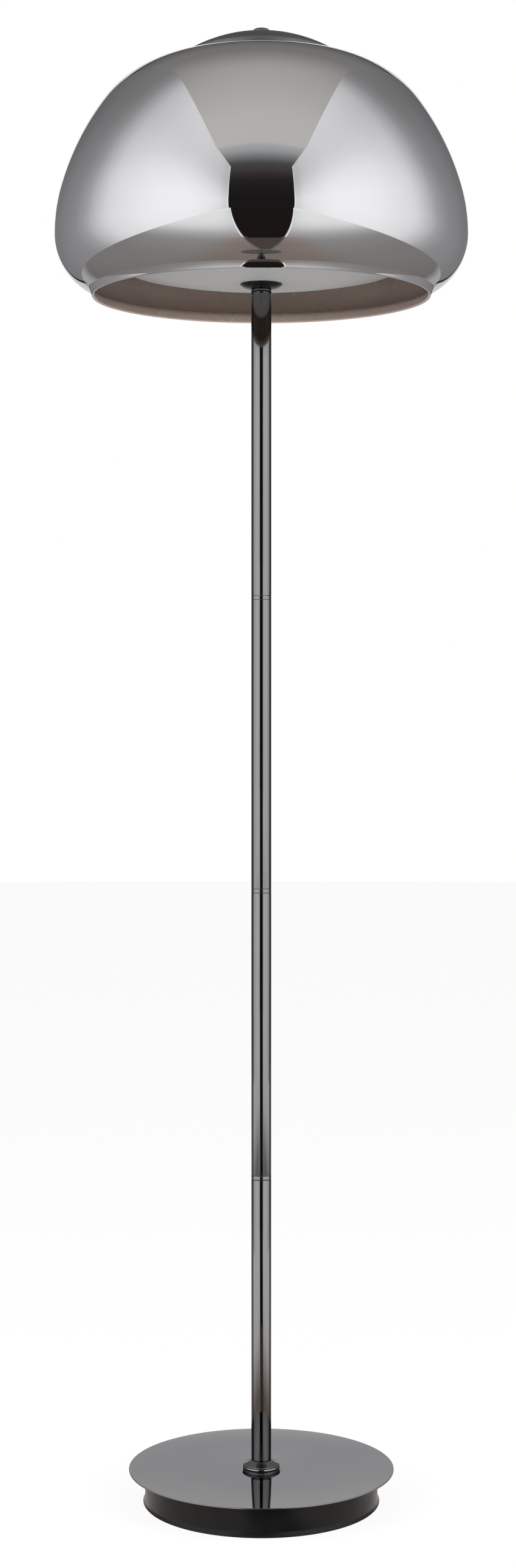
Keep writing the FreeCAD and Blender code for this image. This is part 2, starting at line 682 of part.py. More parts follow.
def bulb_globe():
    """Glass of a bulb: a ball on a neck that is open below, in the cap."""
    top = ARM_START + BULB_START + BULB_LENGTH
    low = ARM_START + BULB_START + BULB_CAP_LENGTH - BULB_NECK_GRIP + FIT
    centre = top - BULB_RADIUS
    sides = []
    for inset in (0.0, BULB_GLASS):
        neck = BULB_NECK_RADIUS - inset
        ball = BULB_RADIUS - inset
        meet = centre - ball * math.cos(math.asin(neck / ball))
        sides.append((neck, meet, ball))
    outer, inner = sides
    return turned(outline(
        (inner[0], low), (outer[0], low), (outer[0], outer[1]), ((outer[2], centre), (0, top)),
        (0, top - BULB_GLASS), ((inner[2], centre), (inner[0], inner[1]))))


def holder_leads():
    """Leads from the rod, through the hub and the arms, to the lampholders' contacts."""
    return on_every_arm(rod(CORE_RADIUS, PIPE_BORE, ARM_START + HOLDER_FLOOR))


def supply_lead():
    """Lead from the terminal block, under the weight and up the pole to the hub."""
    low = COVER_TOP + LEAD_DIP
    entry = ROOF_Z - BLOCK_HEIGHT / 2
    climb = (BLOCK_Y - LEAD_LEVEL_RUN) * 2 / 3
    corners = [
        Vector(0, BLOCK_Y, entry), Vector(0, LEAD_LEVEL_RUN + climb, entry), Vector(0, LEAD_LEVEL_RUN, low),
        Vector(0, 0, low), Vector(0, 0, ARM_Z - LEAD_RADIUS)]
    return lead(corners, LEAD_RADIUS)


# ---------------------------------------------------------------- glass shade

def shade_down(inset):
    """The shade's outline from its widest ring down to its rim, inset by part of the glass."""
    lower = SHADE_RADIUS * SHADE_LOWER_SHARE
    neck_top = SHADE_NECK_RADIUS + SHADE_NECK_FLARE
    turn = math.degrees(math.acos(1 - (SHADE_RADIUS - neck_top - CREASE_RUN) / lower))
    start = (SHADE_RADIUS - inset, SHADE_Z)
    edges, end, heading = chain(start, -math.pi / 2, [(lower - inset, turn)], -1)
    inner_top = neck_top - inset
    crease = (inner_top, end[1] + (inner_top - end[0]) * math.tan(heading))
    rim = (SHADE_NECK_RADIUS - inset, RIM_Z)
    edges.append(Part.LineSegment(point(*end), point(*crease)).toShape())
    edges.append(Part.LineSegment(point(*crease), point(*rim)).toShape())
    return edges, crease


def shade_up(inset, hole):
    """The shade's outline from its widest ring up to a radius on its crown, and its end there."""
    arcs = [(SHADE_RADIUS * share - inset, turn) for share, turn in SHADE_UPPER_ARCS]
    edges, end, heading = chain((SHADE_RADIUS - inset, SHADE_Z), math.pi / 2, arcs, 1)
    slope = math.pi - heading
    crown = SHADE_RADIUS * SHADE_CROWN_SHARE - inset
    last_slope = math.asin(math.sin(slope) - (end[0] - hole) / crown)
    last, end, heading = chain(end, heading, [(crown, math.degrees(slope - last_slope))], 1)
    return edges + last, end


# The widest ring's height puts the neck's crease where the neck's height asks for it.
SHADE_Z = 0.0
SHADE_Z = RIM_Z + SHADE_NECK_HEIGHT - shade_down(0)[1][1]
HOLE_TOP_Z = shade_up(0, SHADE_HOLE)[1][1]
LIP_Z = shade_up(SHADE_GLASS, SHADE_HOLE + GROMMET_LIP)[1][1] - TINY_GAP
CARRIER_TOP = LIP_Z - GROMMET_THICK
CAP_EDGE_Z = shade_up(0, CAP_RADIUS - GASKET_WIDTH)[1][1] + SEAT_GAP + GASKET_THICK
CAP_TURN = math.asin((CAP_RADIUS - CAP_EDGE) / (CAP_DOME - CAP_EDGE))
CAP_RISE = (CAP_DOME - CAP_EDGE) * (1 - math.cos(CAP_TURN)) + CAP_EDGE
CAP_TOP = CAP_EDGE_Z + CAP_SKIRT + CAP_RISE
FINIAL_Z = CAP_TOP + FINIAL_RING_THICK
FINIAL_TOP = FINIAL_Z + FINIAL_HEIGHT
BORE_TOP = FINIAL_TOP - FINIAL_CROWN
ROD_TOP = BORE_TOP - 0.5


def glass_shade():
    """Blown glass globe, open below at its neck and above at its hole."""
    outer_up, outer_top = shade_up(0, SHADE_HOLE)
    inner_up, inner_top = shade_up(SHADE_GLASS, SHADE_HOLE)
    outer_down = shade_down(0)[0]
    inner_down = shade_down(SHADE_GLASS)[0]
    rim_middle = SHADE_NECK_RADIUS - SHADE_GLASS / 2
    rim = Part.Arc(point(SHADE_NECK_RADIUS, RIM_Z), point(rim_middle, RIM_Z - SHADE_GLASS * 0.35),
                   point(SHADE_NECK_RADIUS - SHADE_GLASS, RIM_Z)).toShape()
    hole = Part.LineSegment(point(*outer_top), point(*inner_top)).toShape()
    return turned(outer_up + inner_up + outer_down + inner_down + [rim, hole])


def shade_grommet():
    """Soft ring round the edge of the shade's hole, with a lip under and over the glass."""
    inner = SHADE_HOLE - GROMMET_WALL
    edge = SHADE_HOLE - FIT
    lip = SHADE_HOLE + GROMMET_LIP
    over = HOLE_TOP_Z + TINY_GAP
    return turned(outline(
        (inner, CARRIER_TOP), (lip, CARRIER_TOP), (lip, LIP_Z), (edge, LIP_Z), (edge, over),
        (lip - 1, over), (lip - 2, over + GROMMET_THICK * 0.7), (inner, over + GROMMET_THICK * 0.7)))


def shade_carrier():
    """Round plate that the shade hangs on, with a centring step and vent holes."""
    low = CARRIER_TOP - CARRIER_THICK
    step = SHADE_HOLE - GROMMET_WALL - SEAT_GAP
    carrier = turned(outline(
        (HOLE_RADIUS, low), (CARRIER_RADIUS - 0.5, low), (CARRIER_RADIUS, low + 0.5),
        (CARRIER_RADIUS, CARRIER_TOP), (step, CARRIER_TOP), (step, CARRIER_TOP + CARRIER_SPIGOT),
        (HOLE_RADIUS, CARRIER_TOP + CARRIER_SPIGOT)))
    vent = rod(VENT_RADIUS, low, CARRIER_TOP + CARRIER_SPIGOT, VENT_CIRCLE)
    return carrier.cut(Part.makeCompound(around(vent, VENT_COUNT)))


def carrier_nuts():
    """Nuts on the rod, under and over the carrier."""
    low = CARRIER_TOP - CARRIER_THICK - NUT_THICK
    return Part.makeCompound([pipe_nut(low), pipe_nut(CARRIER_TOP + CARRIER_SPIGOT)])


def center_rod():
    """Threaded rod from the pole's top to the finial, with a window for each lampholder's lead."""
    pipe = ring(PIPE_BORE, PIPE_RADIUS, POLE_TOP - THREAD_GRIP, ROD_TOP)
    window = Part.makeBox(PIPE_RADIUS + 1, WINDOW_WIDTH, WINDOW_HEIGHT,
                          Vector(0, -WINDOW_WIDTH / 2, ARM_Z - 0.5))
    return pipe.cut(Part.makeCompound(around(window, ARM_COUNT, ARM_FIRST)))


# ---------------------------------------------------------------- cap and finial

def cap_side(inset, hole):
    """The cap's outline from its hole out over the dome and down its skirt."""
    start_turn = math.asin(hole / (CAP_DOME - inset))
    centre_z = CAP_TOP - CAP_DOME
    start = (hole, centre_z + (CAP_DOME - inset) * math.cos(start_turn))
    arcs = [(CAP_DOME - inset, math.degrees(CAP_TURN - start_turn)),
            (CAP_EDGE - inset, 90 - math.degrees(CAP_TURN))]
    edges, end, heading = chain(start, -start_turn, arcs, -1)
    edge = (CAP_RADIUS - inset, CAP_EDGE_Z)
    edges.append(Part.LineSegment(point(*end), point(*edge)).toShape())
    return edges, start, edge


def top_cap():
    """Domed metal cap over the shade's hole."""
    hole = FINIAL_NECK_RADIUS + FINIAL_PASS
    outer, outer_start, outer_edge = cap_side(0, hole)
    inner, inner_start, inner_edge = cap_side(CAP_THICK, hole)
    ends = [Part.LineSegment(point(*outer_start), point(*inner_start)).toShape(),
            Part.LineSegment(point(*outer_edge), point(*inner_edge)).toShape()]
    return turned(outer + inner + ends)


def cap_gasket():
    """Soft ring under the cap's edge, with a lip inside its skirt."""
    inner = CAP_RADIUS - GASKET_WIDTH
    lip = CAP_RADIUS - CAP_THICK - FIT
    low = CAP_EDGE_Z - GASKET_THICK
    return turned(outline(
        (inner, low), (CAP_RADIUS, low), (CAP_RADIUS, CAP_EDGE_Z), (lip, CAP_EDGE_Z),
        (lip, CAP_EDGE_Z + GASKET_LIP), (inner, CAP_EDGE_Z + GASKET_LIP)))


def finial_washer():
    """Thin captive washer under the finial's head."""
    return ring(FINIAL_NECK_RADIUS + FIT, FINIAL_RING_RADIUS, CAP_TOP, FINIAL_Z, FINIAL_RING_THICK / 3)


def finial_nut():
    """Low domed nut whose threaded neck reaches through the cap to the rod."""
    low = FINIAL_Z - FINIAL_NECK
    shoulder = FINIAL_RADIUS * 0.55
    return turned(outline(
        (PIPE_RADIUS + FIT, low), (FINIAL_NECK_RADIUS - 0.4, low), (FINIAL_NECK_RADIUS, low + 0.4),
        (FINIAL_NECK_RADIUS, FINIAL_Z), (FINIAL_RADIUS, FINIAL_Z), (FINIAL_RADIUS, FINIAL_Z + FINIAL_EDGE),
        ((shoulder + 2, FINIAL_TOP - FINIAL_HEIGHT * 0.24), (shoulder, FINIAL_TOP - 0.15)),
        (0, FINIAL_TOP), (0, BORE_TOP), (PIPE_RADIUS + FIT, BORE_TOP)))


# ---------------------------------------------------------------- all pieces

def all_pieces():
    """Every piece of the lamp by its name."""
    pieces = {
        "foot_pads": foot_pads(),
        "bottom_cover": bottom_cover(),
        "cover_screws": cover_screws(),
        "base_housing": base_housing(),
        "base_plate": base_plate(),
        "base_weight": base_weight(),
        "cord_gland": cord_gland(),
        "gland_nut": gland_nut(),
        "terminal_block": terminal_block(),
        "terminal_screws": terminal_screws(),
        "earth_tag": earth_tag(),
        "earth_screw": earth_screw(),
        "base_nipple": base_nipple(),
        "base_washer": base_washer(),
        "base_nut": pipe_nut(BASE_NUT_Z),
        "base_collar": base_collar(),
        "foot_plug": tube_plug(POLE_Z),
        "head_plug": tube_plug(POLE_TOP - PLUG_LENGTH),
        "neck_ring": neck_ring(),
        "shade_cup": shade_cup(),
        "diffuser": diffuser(),
        "diffuser_washer": diffuser_washer(),
        "diffuser_nut": pipe_nut(SOFT_WASHER_Z + SOFT_WASHER_THICK),
        "center_rod": center_rod(),
        "lamp_hub": lamp_hub(),
        "hub_cover": hub_cover(),
        "hub_nuts": hub_nuts(),
        "arm_nipples": arm_nipples(),
        "holder_shells": holder_shells(),
        "holder_contacts": holder_contacts(),
        "holder_leads": holder_leads(),
        "supply_lead": supply_lead(),
        "shade_carrier": shade_carrier(),
        "carrier_nuts": carrier_nuts(),
        "shade_grommet": shade_grommet(),
        "glass_shade": glass_shade(),
        "top_cap": top_cap(),
        "cap_gasket": cap_gasket(),
        "finial_washer": finial_washer(),
        "finial_nut": finial_nut(),
    }
    for index in range(len(TUBE_LENGTHS)):
        pieces[f"pole_tube_{index + 1}"] = pole_tube(index)
    for index in range(len(TUBE_LENGTHS) - 1):
        pieces[f"joint_ring_{index + 1}"] = joint_ring(index)
        pieces[f"tube_coupler_{index + 1}"] = tube_coupler(index)
    for arm in range(ARM_COUNT):
        pieces[f"lampholder_{arm + 1}"] = on_arm(lampholder(), arm)
        pieces[f"bulb_cap_{arm + 1}"] = on_arm(bulb_cap(), arm)
        pieces[f"bulb_globe_{arm + 1}"] = on_arm(bulb_globe(), arm)
    return pieces


os.makedirs("parts", exist_ok=True)
for name, shape in all_pieces().items():
    shape.exportStep(f"parts/{name}.step")
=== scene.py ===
import json
import math

import bmesh
import bpy
from bpy.props import FloatProperty, FloatVectorProperty, IntProperty, PointerProperty
from mathutils import Matrix, Vector

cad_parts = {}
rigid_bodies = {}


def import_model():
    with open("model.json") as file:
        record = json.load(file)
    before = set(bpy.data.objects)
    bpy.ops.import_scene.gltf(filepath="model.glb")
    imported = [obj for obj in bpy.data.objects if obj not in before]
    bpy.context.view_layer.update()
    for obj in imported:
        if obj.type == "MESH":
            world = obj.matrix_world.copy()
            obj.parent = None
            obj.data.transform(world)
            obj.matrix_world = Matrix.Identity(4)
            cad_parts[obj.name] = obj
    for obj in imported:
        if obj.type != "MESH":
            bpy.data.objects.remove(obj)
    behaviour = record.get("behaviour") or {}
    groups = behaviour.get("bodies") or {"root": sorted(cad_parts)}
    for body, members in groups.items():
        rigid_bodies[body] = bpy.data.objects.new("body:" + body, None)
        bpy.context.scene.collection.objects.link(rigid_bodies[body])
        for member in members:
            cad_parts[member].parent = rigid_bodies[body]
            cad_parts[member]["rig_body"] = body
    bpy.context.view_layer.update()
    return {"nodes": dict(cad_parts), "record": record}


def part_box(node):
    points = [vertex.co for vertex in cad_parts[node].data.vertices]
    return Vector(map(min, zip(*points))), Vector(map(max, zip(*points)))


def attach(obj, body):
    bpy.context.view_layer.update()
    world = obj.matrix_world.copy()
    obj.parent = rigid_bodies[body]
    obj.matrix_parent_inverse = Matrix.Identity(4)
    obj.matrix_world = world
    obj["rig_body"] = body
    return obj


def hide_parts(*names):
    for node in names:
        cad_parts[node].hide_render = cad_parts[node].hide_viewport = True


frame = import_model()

bl_info = {
    "name": "Globe floor lamp",
    "version": (1, 0, 0),
    "blender": (4, 5, 0),
    "location": "View3D > Sidebar > Floor Lamp",
    "description": "Smooth pieces, finishes and studio for a globe floor lamp",
    "category": "Object",
}

MM = 0.001
PIPE_PASS = 5.3 * MM      # radius of the holes that the threaded pipe passes through
PIPE_THREAD = 5.05 * MM   # radius of the bores that the pipe screws into


# ---- settings

def length(name, description, default):
    """A setting that is a length, in metres."""
    return FloatProperty(name=name, description=description, default=default, unit="LENGTH")


def angle(name, description, degrees):
    """A setting that is an angle."""
    return FloatProperty(name=name, description=description, default=math.radians(degrees), unit="ROTATION")


def brightness(name, description, default):
    """A setting that is a brightness, of which 1 is white."""
    return FloatProperty(name=name, description=description, default=default, min=0)


def tint(name, description, default):
    """A setting that is a colour."""
    return FloatVectorProperty(name=name, description=description, default=default, subtype="COLOR",
                               size=3, min=0, max=1)


class LampSizes(bpy.types.PropertyGroup):
    """Sizes that the CAD boxes don't give."""

    segments: IntProperty(name="Segments", description="Faces round a polished piece", default=192, min=24)
    glass_wall: length("Glass wall", "Thickness of the shade's glass", 3 * MM)
    neck_radius: length("Neck radius", "Outer radius of the shade's rim", 168 * MM)
    neck_flare: length("Neck flare", "How much wider the neck is at its crease", 2 * MM)
    crease_run: length("Crease run", "Straight glass between the neck and the lower arc", 1 * MM)
    shade_hole: length("Shade hole", "Radius of the hole in the shade's crown", 50 * MM)
    cap_radius: length("Cap radius", "Radius of the cap at its edge", 75 * MM)
    cap_dome: length("Cap dome", "Radius of the cap's dome", 148 * MM)
    cap_edge: length("Cap edge", "Radius where the cap's dome turns down", 4 * MM)
    cap_skirt: length("Cap skirt", "Height of the cap's straight edge", 2.4 * MM)
    cap_sheet: length("Cap sheet", "Thickness of the cap", 1.2 * MM)
    seal: length("Seal", "Height of the soft ring that shows under the cap", 0.5 * MM)
    finial_rise: length("Finial rise", "From the cap's top to the finial's top", 6.4 * MM)
    hem_reach: length("Hem reach", "How far the drum's hem flares out", 1.9 * MM)
    hem_height: length("Hem height", "Height of the drum's flared hem", 6 * MM)
    tube_wall: length("Tube wall", "Wall of the pole's tubes", 1.2 * MM)
    thread_pitch: length("Thread pitch", "Pitch of the threaded rod", 1 * MM)
    arm_tilt: angle("Arm tilt", "Rise of the lamp arms", 30)
    arm_drop: length("Arm drop", "How far the arms meet under the hub's middle", 12.4 * MM)


class LampColours(bpy.types.PropertyGroup):
    """Colours of the finishes."""

    chrome: tint("Black chrome", "Head-on reflection of the pole and plate", (0.318, 0.318, 0.322))
    mirror: tint("Mirrored glass", "Head-on reflection of the shade", (0.80, 0.80, 0.81))
    mirror_inside: tint("Shade inside", "Reflection of the shade's inner side", (0.50, 0.40, 0.35))
    cap: tint("Cap", "Reflection of the top cap and finial", (0.23, 0.23, 0.235))
    drum: tint("Drum paint", "Satin paint of the drum and cup", (0.005, 0.005, 0.005))
    opal: tint("Opal", "Opal sheet of the diffuser", (0.35, 0.35, 0.345))


class StudioSettings(bpy.types.PropertyGroup):
    """Sizes and levels of the studio."""

    half_width: length("Half width", "From the lamp to each diffusion wall", 2.0)
    height: length("Height", "Height of the ceiling cloth", 5.05)
    # front: the dark sheet of painted shade in front of the lamp
    front: length("Front", "From the lamp to the dark front cloth", 6.4)
    back: length("Back", "From the lamp to the open back", 6.0)
    wall: brightness("Wall level", "Brightness of the diffusion walls", 1.06)
    fill: brightness("Fill level", "Brightness of the soft light all round", 0.62)
    side: FloatProperty(name="Side lamps", description="Power of each side lamp", default=62.0, unit="POWER")
    lens: FloatProperty(name="Lens", description="Focal length of the camera in millimetres", default=57.39)
    tilt: angle("Tilt", "How far the camera looks down", 1.736)


# ---- drawing tools

class Outline:
    """A line in the XZ plane, drawn with short runs and arcs, that a spin about Z makes a piece."""

    def __init__(self, r, z):
        self.mesh = bmesh.new()
        self.tip = self.first = self.mesh.verts.new((r, 0, z))
        self.heading = 0.0

    def line(self, r, z):
        """A straight run to a point."""
        self.heading = math.atan2(z - self.tip.co.z, r - self.tip.co.x)
        self.tip = bmesh.ops.extrude_vert_indiv(self.mesh, verts=[self.tip])["verts"][0]
        self.tip.co = (r, 0, z)
        return self

    def ahead(self, run):
        """A straight run in line with what is before it."""
        here = self.tip.co
        return self.line(here.x + run * math.cos(self.heading), here.z + run * math.sin(self.heading))

    def arc(self, radius, turn, steps=12):
        """An arc in line with what is before it. A positive turn is to the left."""
        side = math.copysign(radius, turn)
        centre = self.tip.co + Vector((-math.sin(self.heading), 0, math.cos(self.heading))) * side
        made = bmesh.ops.spin(self.mesh, geom=[self.tip], cent=centre, axis=(0, -1, 0), angle=turn,
                              steps=steps, dvec=(0, 0, 0), use_merge=False, use_duplicate=False)
        self.tip = [part for part in made["geom_last"] if isinstance(part, bmesh.types.BMVert)][0]
        self.heading += turn
        return self

    def face(self, heading):
        """Turns on the spot, to a heading in degrees from +X."""
        self.heading = math.radians(heading)
        return self

    def closed(self):
        """Joins the end to the start."""
        self.mesh.edges.new((self.tip, self.first))
        return self

    def rounded(self, radius, steps=3):
        """Rounds every corner that turns by more than 25 degrees, by up to a radius."""
        corners = []
        for vert in self.mesh.verts:
            if len(vert.link_edges) == 2 and vert.co.x > 1e-6:
                a, b = (edge.other_vert(vert).co - vert.co for edge in vert.link_edges)
                if math.pi - a.angle(b) > math.radians(25):
                    corners.append(vert)
        bmesh.ops.bevel(self.mesh, geom=corners, offset=radius, offset_type="OFFSET", affect="VERTICES",
                        segments=steps, profile=0.5, material=-1, clamp_overlap=True)
        return self

    def turned(self, segments):
        """The closed mesh that the line makes about Z."""
        swept(self.mesh, segments, 0.0)
        return settled(self.mesh)


def swept(mesh, steps, rise):
    """Turns all lines once about Z, with a rise to each step. Without a rise the turn closes on itself."""
    bmesh.ops.spin(mesh, geom=mesh.verts[:] + mesh.edges[:], cent=(0, 0, 0), axis=(0, 0, 1), angle=math.tau,
                   steps=steps, dvec=(0, 0, rise), use_merge=not rise, use_duplicate=False)


def settled(mesh):
    """Merges doubles, closes what that opens, and turns the faces outwards."""
    bmesh.ops.remove_doubles(mesh, verts=mesh.verts, dist=1e-6)
    bmesh.ops.dissolve_degenerate(mesh, edges=mesh.edges, dist=1e-7)
    bmesh.ops.recalc_face_normals(mesh, faces=mesh.faces)
    return mesh


def ring(inner, outer, low, high, segments, edge):
    """A tube, ring or washer with rounded edges."""
    line = Outline(inner, low).line(outer, low).line(outer, high).line(inner, high)
    return line.closed().rounded(edge).turned(segments)


def disc(outer, low, high, segments, edge):
    """A solid disc with a rounded rim."""
    return Outline(0, low).line(outer, low).line(outer, high).line(0, high).rounded(edge).turned(segments)


def thread(root, crest, pitch, low, high, steps=32):
    """A threaded sleeve: one turn of its outline swept up a helix, then copied up the sleeve."""
    line = Outline(root, low)
    for r, share in ((crest, 0.35), (crest, 0.50), (root, 0.85), (root, 1.0)):
        line.line(r, low + pitch * share)
    mesh = line.mesh
    swept(mesh, steps, pitch / steps)
    turn = mesh.faces[:]
    for number in range(1, int((high - low) / pitch) - 1):
        copy = bmesh.ops.duplicate(mesh, geom=turn)["geom"]
        bmesh.ops.translate(mesh, verts=[part for part in copy if isinstance(part, bmesh.types.BMVert)],
                            vec=(0, 0, number * pitch))
    bmesh.ops.remove_doubles(mesh, verts=mesh.verts, dist=1e-6)
    bmesh.ops.holes_fill(mesh, edges=[e for e in mesh.edges if e.is_boundary], sides=0)
    return settled(mesh)


def joined(*meshes):
    """Several meshes as one."""
    whole = meshes[0]
    for mesh in meshes[1:]:
        held = bpy.data.meshes.new("held")
        mesh.to_mesh(held)
        whole.from_mesh(held)
        bpy.data.meshes.remove(held)
        mesh.free()
    return whole


def moved(mesh, *matrices):
    """A mesh after one move or turn and then the next."""
    for matrix in matrices:
        bmesh.ops.transform(mesh, matrix=matrix, verts=mesh.verts)
    return mesh


def span(node):
    """The outer radius, lowest and highest place of a CAD node that is round about Z."""
    low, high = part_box(node)
    return (high.x - low.x) / 2, low.z, high.z


def on_arm(mesh, arm):
    """Puts a mesh that was drawn on Z on a lamp arm, its origin where the arms meet."""
    sizes = bpy.context.scene.lamp_sizes
    meet = sum(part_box("lamp_hub")[i].z for i in (0, 1)) / 2 - sizes.arm_drop
    return moved(mesh, Matrix.Rotation(math.pi / 2 - sizes.arm_tilt, 4, "Y"),
                 Matrix.Rotation(math.radians(90 + 120 * arm), 4, "Z"), Matrix.Translation((0, 0, meet)))


def placed(name, mesh, *materials):
    """Makes a mesh an object of the scene."""
    data = bpy.data.meshes.new(name)
    mesh.to_mesh(data)
    mesh.free()
    for material in materials:
        data.materials.append(material)
    made = bpy.data.objects.new(name, data)
    bpy.context.scene.collection.objects.link(made)
    return made


def piece(name, mesh, materials, nodes, sharp=40):
    """Makes a mesh a piece that stands for CAD nodes and rides on their body."""
    for face in mesh.faces:
        face.smooth = True
    for edge in mesh.edges:
        if len(edge.link_faces) == 2 and edge.calc_face_angle() > math.radians(sharp):
            edge.smooth = False
    made = placed(name, mesh, *[finish(material) for material in materials])
    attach(made, frame["nodes"][nodes[0]]["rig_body"])
    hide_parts(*nodes)
    return made


# ---- finishes

class Finish:
    """A material with one Principled shader, and short ways to add to it."""

    def __init__(self, name, **numbers):
        self.material = bpy.data.materials.new(name)
        self.material.use_nodes = True
        self.nodes = self.material.node_tree.nodes
        self.links = self.material.node_tree.links
        self.shader = self.nodes["Principled BSDF"]
        for socket, value in numbers.items():
            self.shader.inputs[socket.replace("_", " ")].default_value = value
        self.place = self.nodes.new("ShaderNodeTexCoord").outputs["Object"]

    def stretched(self, x, y, z):
        """The place, scaled by different amounts along X, Y and Z."""
        mapping = self.nodes.new("ShaderNodeMapping")
        mapping.inputs["Scale"].default_value = (x, y, z)
        self.links.new(self.place, mapping.inputs["Vector"])
        return mapping.outputs["Vector"]

    def noise(self, scale, detail=4, place=None):
        """Soft noise, from 0 to 1."""
        node = self.nodes.new("ShaderNodeTexNoise")
        node.inputs["Scale"].default_value = scale
        node.inputs["Detail"].default_value = detail
        self.links.new(place or self.place, node.inputs["Vector"])
        return node.outputs["Fac"]

    def cells(self, scale, output="Distance"):
        """Cells, such as crystals or pits."""
        node = self.nodes.new("ShaderNodeTexVoronoi")
        node.inputs["Scale"].default_value = scale
        self.links.new(self.place, node.inputs["Vector"])
        return node.outputs[output]

    def height(self):
        """The height above the floor, in metres."""
        node = self.nodes.new("ShaderNodeSeparateXYZ")
        self.links.new(self.place, node.inputs["Vector"])
        return node.outputs["Z"]

    def mapped(self, value, low, high, to_low, to_high):
        """A value carried from one range to another."""
        node = self.nodes.new("ShaderNodeMapRange")
        ends = {"From Min": low, "From Max": high, "To Min": to_low, "To Max": to_high}
        for socket, number in ends.items():
            node.inputs[socket].default_value = number
        self.links.new(value, node.inputs["Value"])
        return node.outputs["Result"]

    def rough(self, value, low, high):
        """Roughness between two numbers, after a value."""
        self.links.new(self.mapped(value, 0.3, 0.7, low, high), self.shader.inputs["Roughness"])
        return self

    def colour(self, value, dark, light, low=0.3, high=0.7):
        """Base colour between two colours, after a value."""
        node = self.nodes.new("ShaderNodeMix")
        node.data_type = "RGBA"
        node.inputs[6].default_value = (*dark, 1)
        node.inputs[7].default_value = (*light, 1)
        self.links.new(self.mapped(value, low, high, 0, 1), node.inputs["Factor"])
        self.links.new(node.outputs[2], self.shader.inputs["Base Color"])
        return self

    def bump(self, value, distance):
        """Relief of a given height in metres, after a value."""
        node = self.nodes.new("ShaderNodeBump")
        node.inputs["Strength"].default_value = 1.0
        node.inputs["Distance"].default_value = distance
        self.links.new(value, node.inputs["Height"])
        self.links.new(node.outputs["Normal"], self.shader.inputs["Normal"])
        return self


def scaled(colour, share):
    """A colour, darker or lighter."""
    return tuple(min(1.0, channel * share) for channel in colour)


def black_chrome(colours):
    """Polished dark chrome: faint smudges, and a hairline grain too fine to blur it."""
    made = Finish("polished_black_chrome", Metallic=1.0, Specular_Tint=(0.52, 0.52, 0.53, 1))
    smudge = made.noise(14, 5)
    made.colour(smudge, scaled(colours.chrome, 0.97), scaled(colours.chrome, 1.03))
    made.rough(smudge, 0.035, 0.060)
    made.bump(made.noise(900, 2), 0.2e-6)
    return made


# Painted shade: between these heights the pole's colour darkens, as if under the shade.
PAINTED_SHADE_FROM, PAINTED_SHADE_TO = 1.14, 1.19   # heights between which the shade darkens the pole


def pole_chrome(colours):
    """The same chrome with painted shade: darker where it is seen aslant, as a painted dark reflection, and
    up under the shade.
    """
    made = Finish("black_chrome_painted_shade", Metallic=1.0)
    smudge = made.noise(14, 5)
    made.rough(smudge, 0.045, 0.070)
    # painted reflection and shade: the colour darkens where the pole is seen aslant and high up
    aslant = made.nodes.new("ShaderNodeLayerWeight").outputs["Facing"]
    painted_shade = made.nodes.new("ShaderNodeMath")
    painted_shade.operation = "MAXIMUM"
    made.links.new(made.mapped(aslant, 0.36, 0.43, 0, 1), painted_shade.inputs[0])
    made.links.new(made.mapped(made.height(), PAINTED_SHADE_FROM, PAINTED_SHADE_TO, 0, 0.6), painted_shade.inputs[1])
    made.colour(painted_shade.outputs[0], colours.chrome, scaled(colours.chrome, 0.16), 0, 1)
    made.bump(made.noise(900, 2), 0.2e-6)
    return made


def smoked_mirror_glass(colours):
    """Outer side of the shade: blown glass over a neutral mirror."""
    made = Finish("mirrored_glass_outside", Metallic=1.0, Specular_Tint=(0.62, 0.61, 0.62, 1))
    cloud = made.noise(7, 3)
    made.colour(cloud, scaled(colours.mirror, 0.985), scaled(colours.mirror, 1.015))
    made.rough(made.noise(40, 4), 0.012, 0.022)
    made.bump(made.noise(9, 2), 12e-6)
    return made


def smoked_inner_glass(colours):
    """Inner side of the shade: the same mirror through brown smoke."""
    made = Finish("mirrored_glass_inside", Metallic=0.25, Specular_IOR_Level=0.12,
                  Specular_Tint=(0.40, 0.34, 0.31, 1))
    made.colour(made.noise(9, 3), scaled(colours.mirror_inside, 0.95), scaled(colours.mirror_inside, 1.05))
    made.rough(made.noise(30, 3), 0.22, 0.30)
    return made


def grained(name, colour, rough, relief=None, **numbers):
    """A finish with noise in its colour, its roughness and its relief."""
    made = Finish(name, **numbers)
    scale, detail, dark, light = colour
    made.colour(made.noise(scale, detail), dark, light)
    scale, detail, low, high = rough
    made.rough(made.noise(scale, detail), low, high)
    if relief:
        scale, detail, height = relief
        made.bump(made.noise(scale, detail), height)
    return made


def cap_chrome(colours):
    """Dark chrome of the cap and finial, brushed to a soft sheen."""
    return grained("brushed_dark_chrome", (22, 4, scaled(colours.cap, 0.94), scaled(colours.cap, 1.06)),
                   (60, 3, 0.48, 0.56), (1600, 2, 0.5e-6), Metallic=1.0, Specular_Tint=(0.6, 0.6, 0.6, 1))


def drum_paint(colours):
    """Satin black powder coat: fine orange peel and a slightly worn sheen."""
    return grained("satin_black_paint", (30, 5, scaled(colours.drum, 0.8), scaled(colours.drum, 1.3)),
                   (55, 4, 0.24, 0.32), (650, 2, 8e-6), Specular_IOR_Level=0.25)


def opal(colours):
    """Opal acrylic: milky, with faint clouds, a soft gloss and a little light in it."""
    return grained("opal_sheet", (18, 4, scaled(colours.opal, 0.98), scaled(colours.opal, 1.02)),
                   (45, 3, 0.45, 0.55), (300, 2, 1e-6), Subsurface_Weight=0.2, Subsurface_Scale=0.004,
                   Subsurface_Radius=(1.0, 0.95, 0.9), Specular_IOR_Level=0.25)


def bulb_opal(colours):
    """Frosted opal bulb."""
    return grained("frosted_bulb", (40, 4, (0.80, 0.79, 0.76), (0.86, 0.85, 0.82)), (90, 3, 0.28, 0.36),
                   Subsurface_Weight=0.3, Subsurface_Scale=0.003)


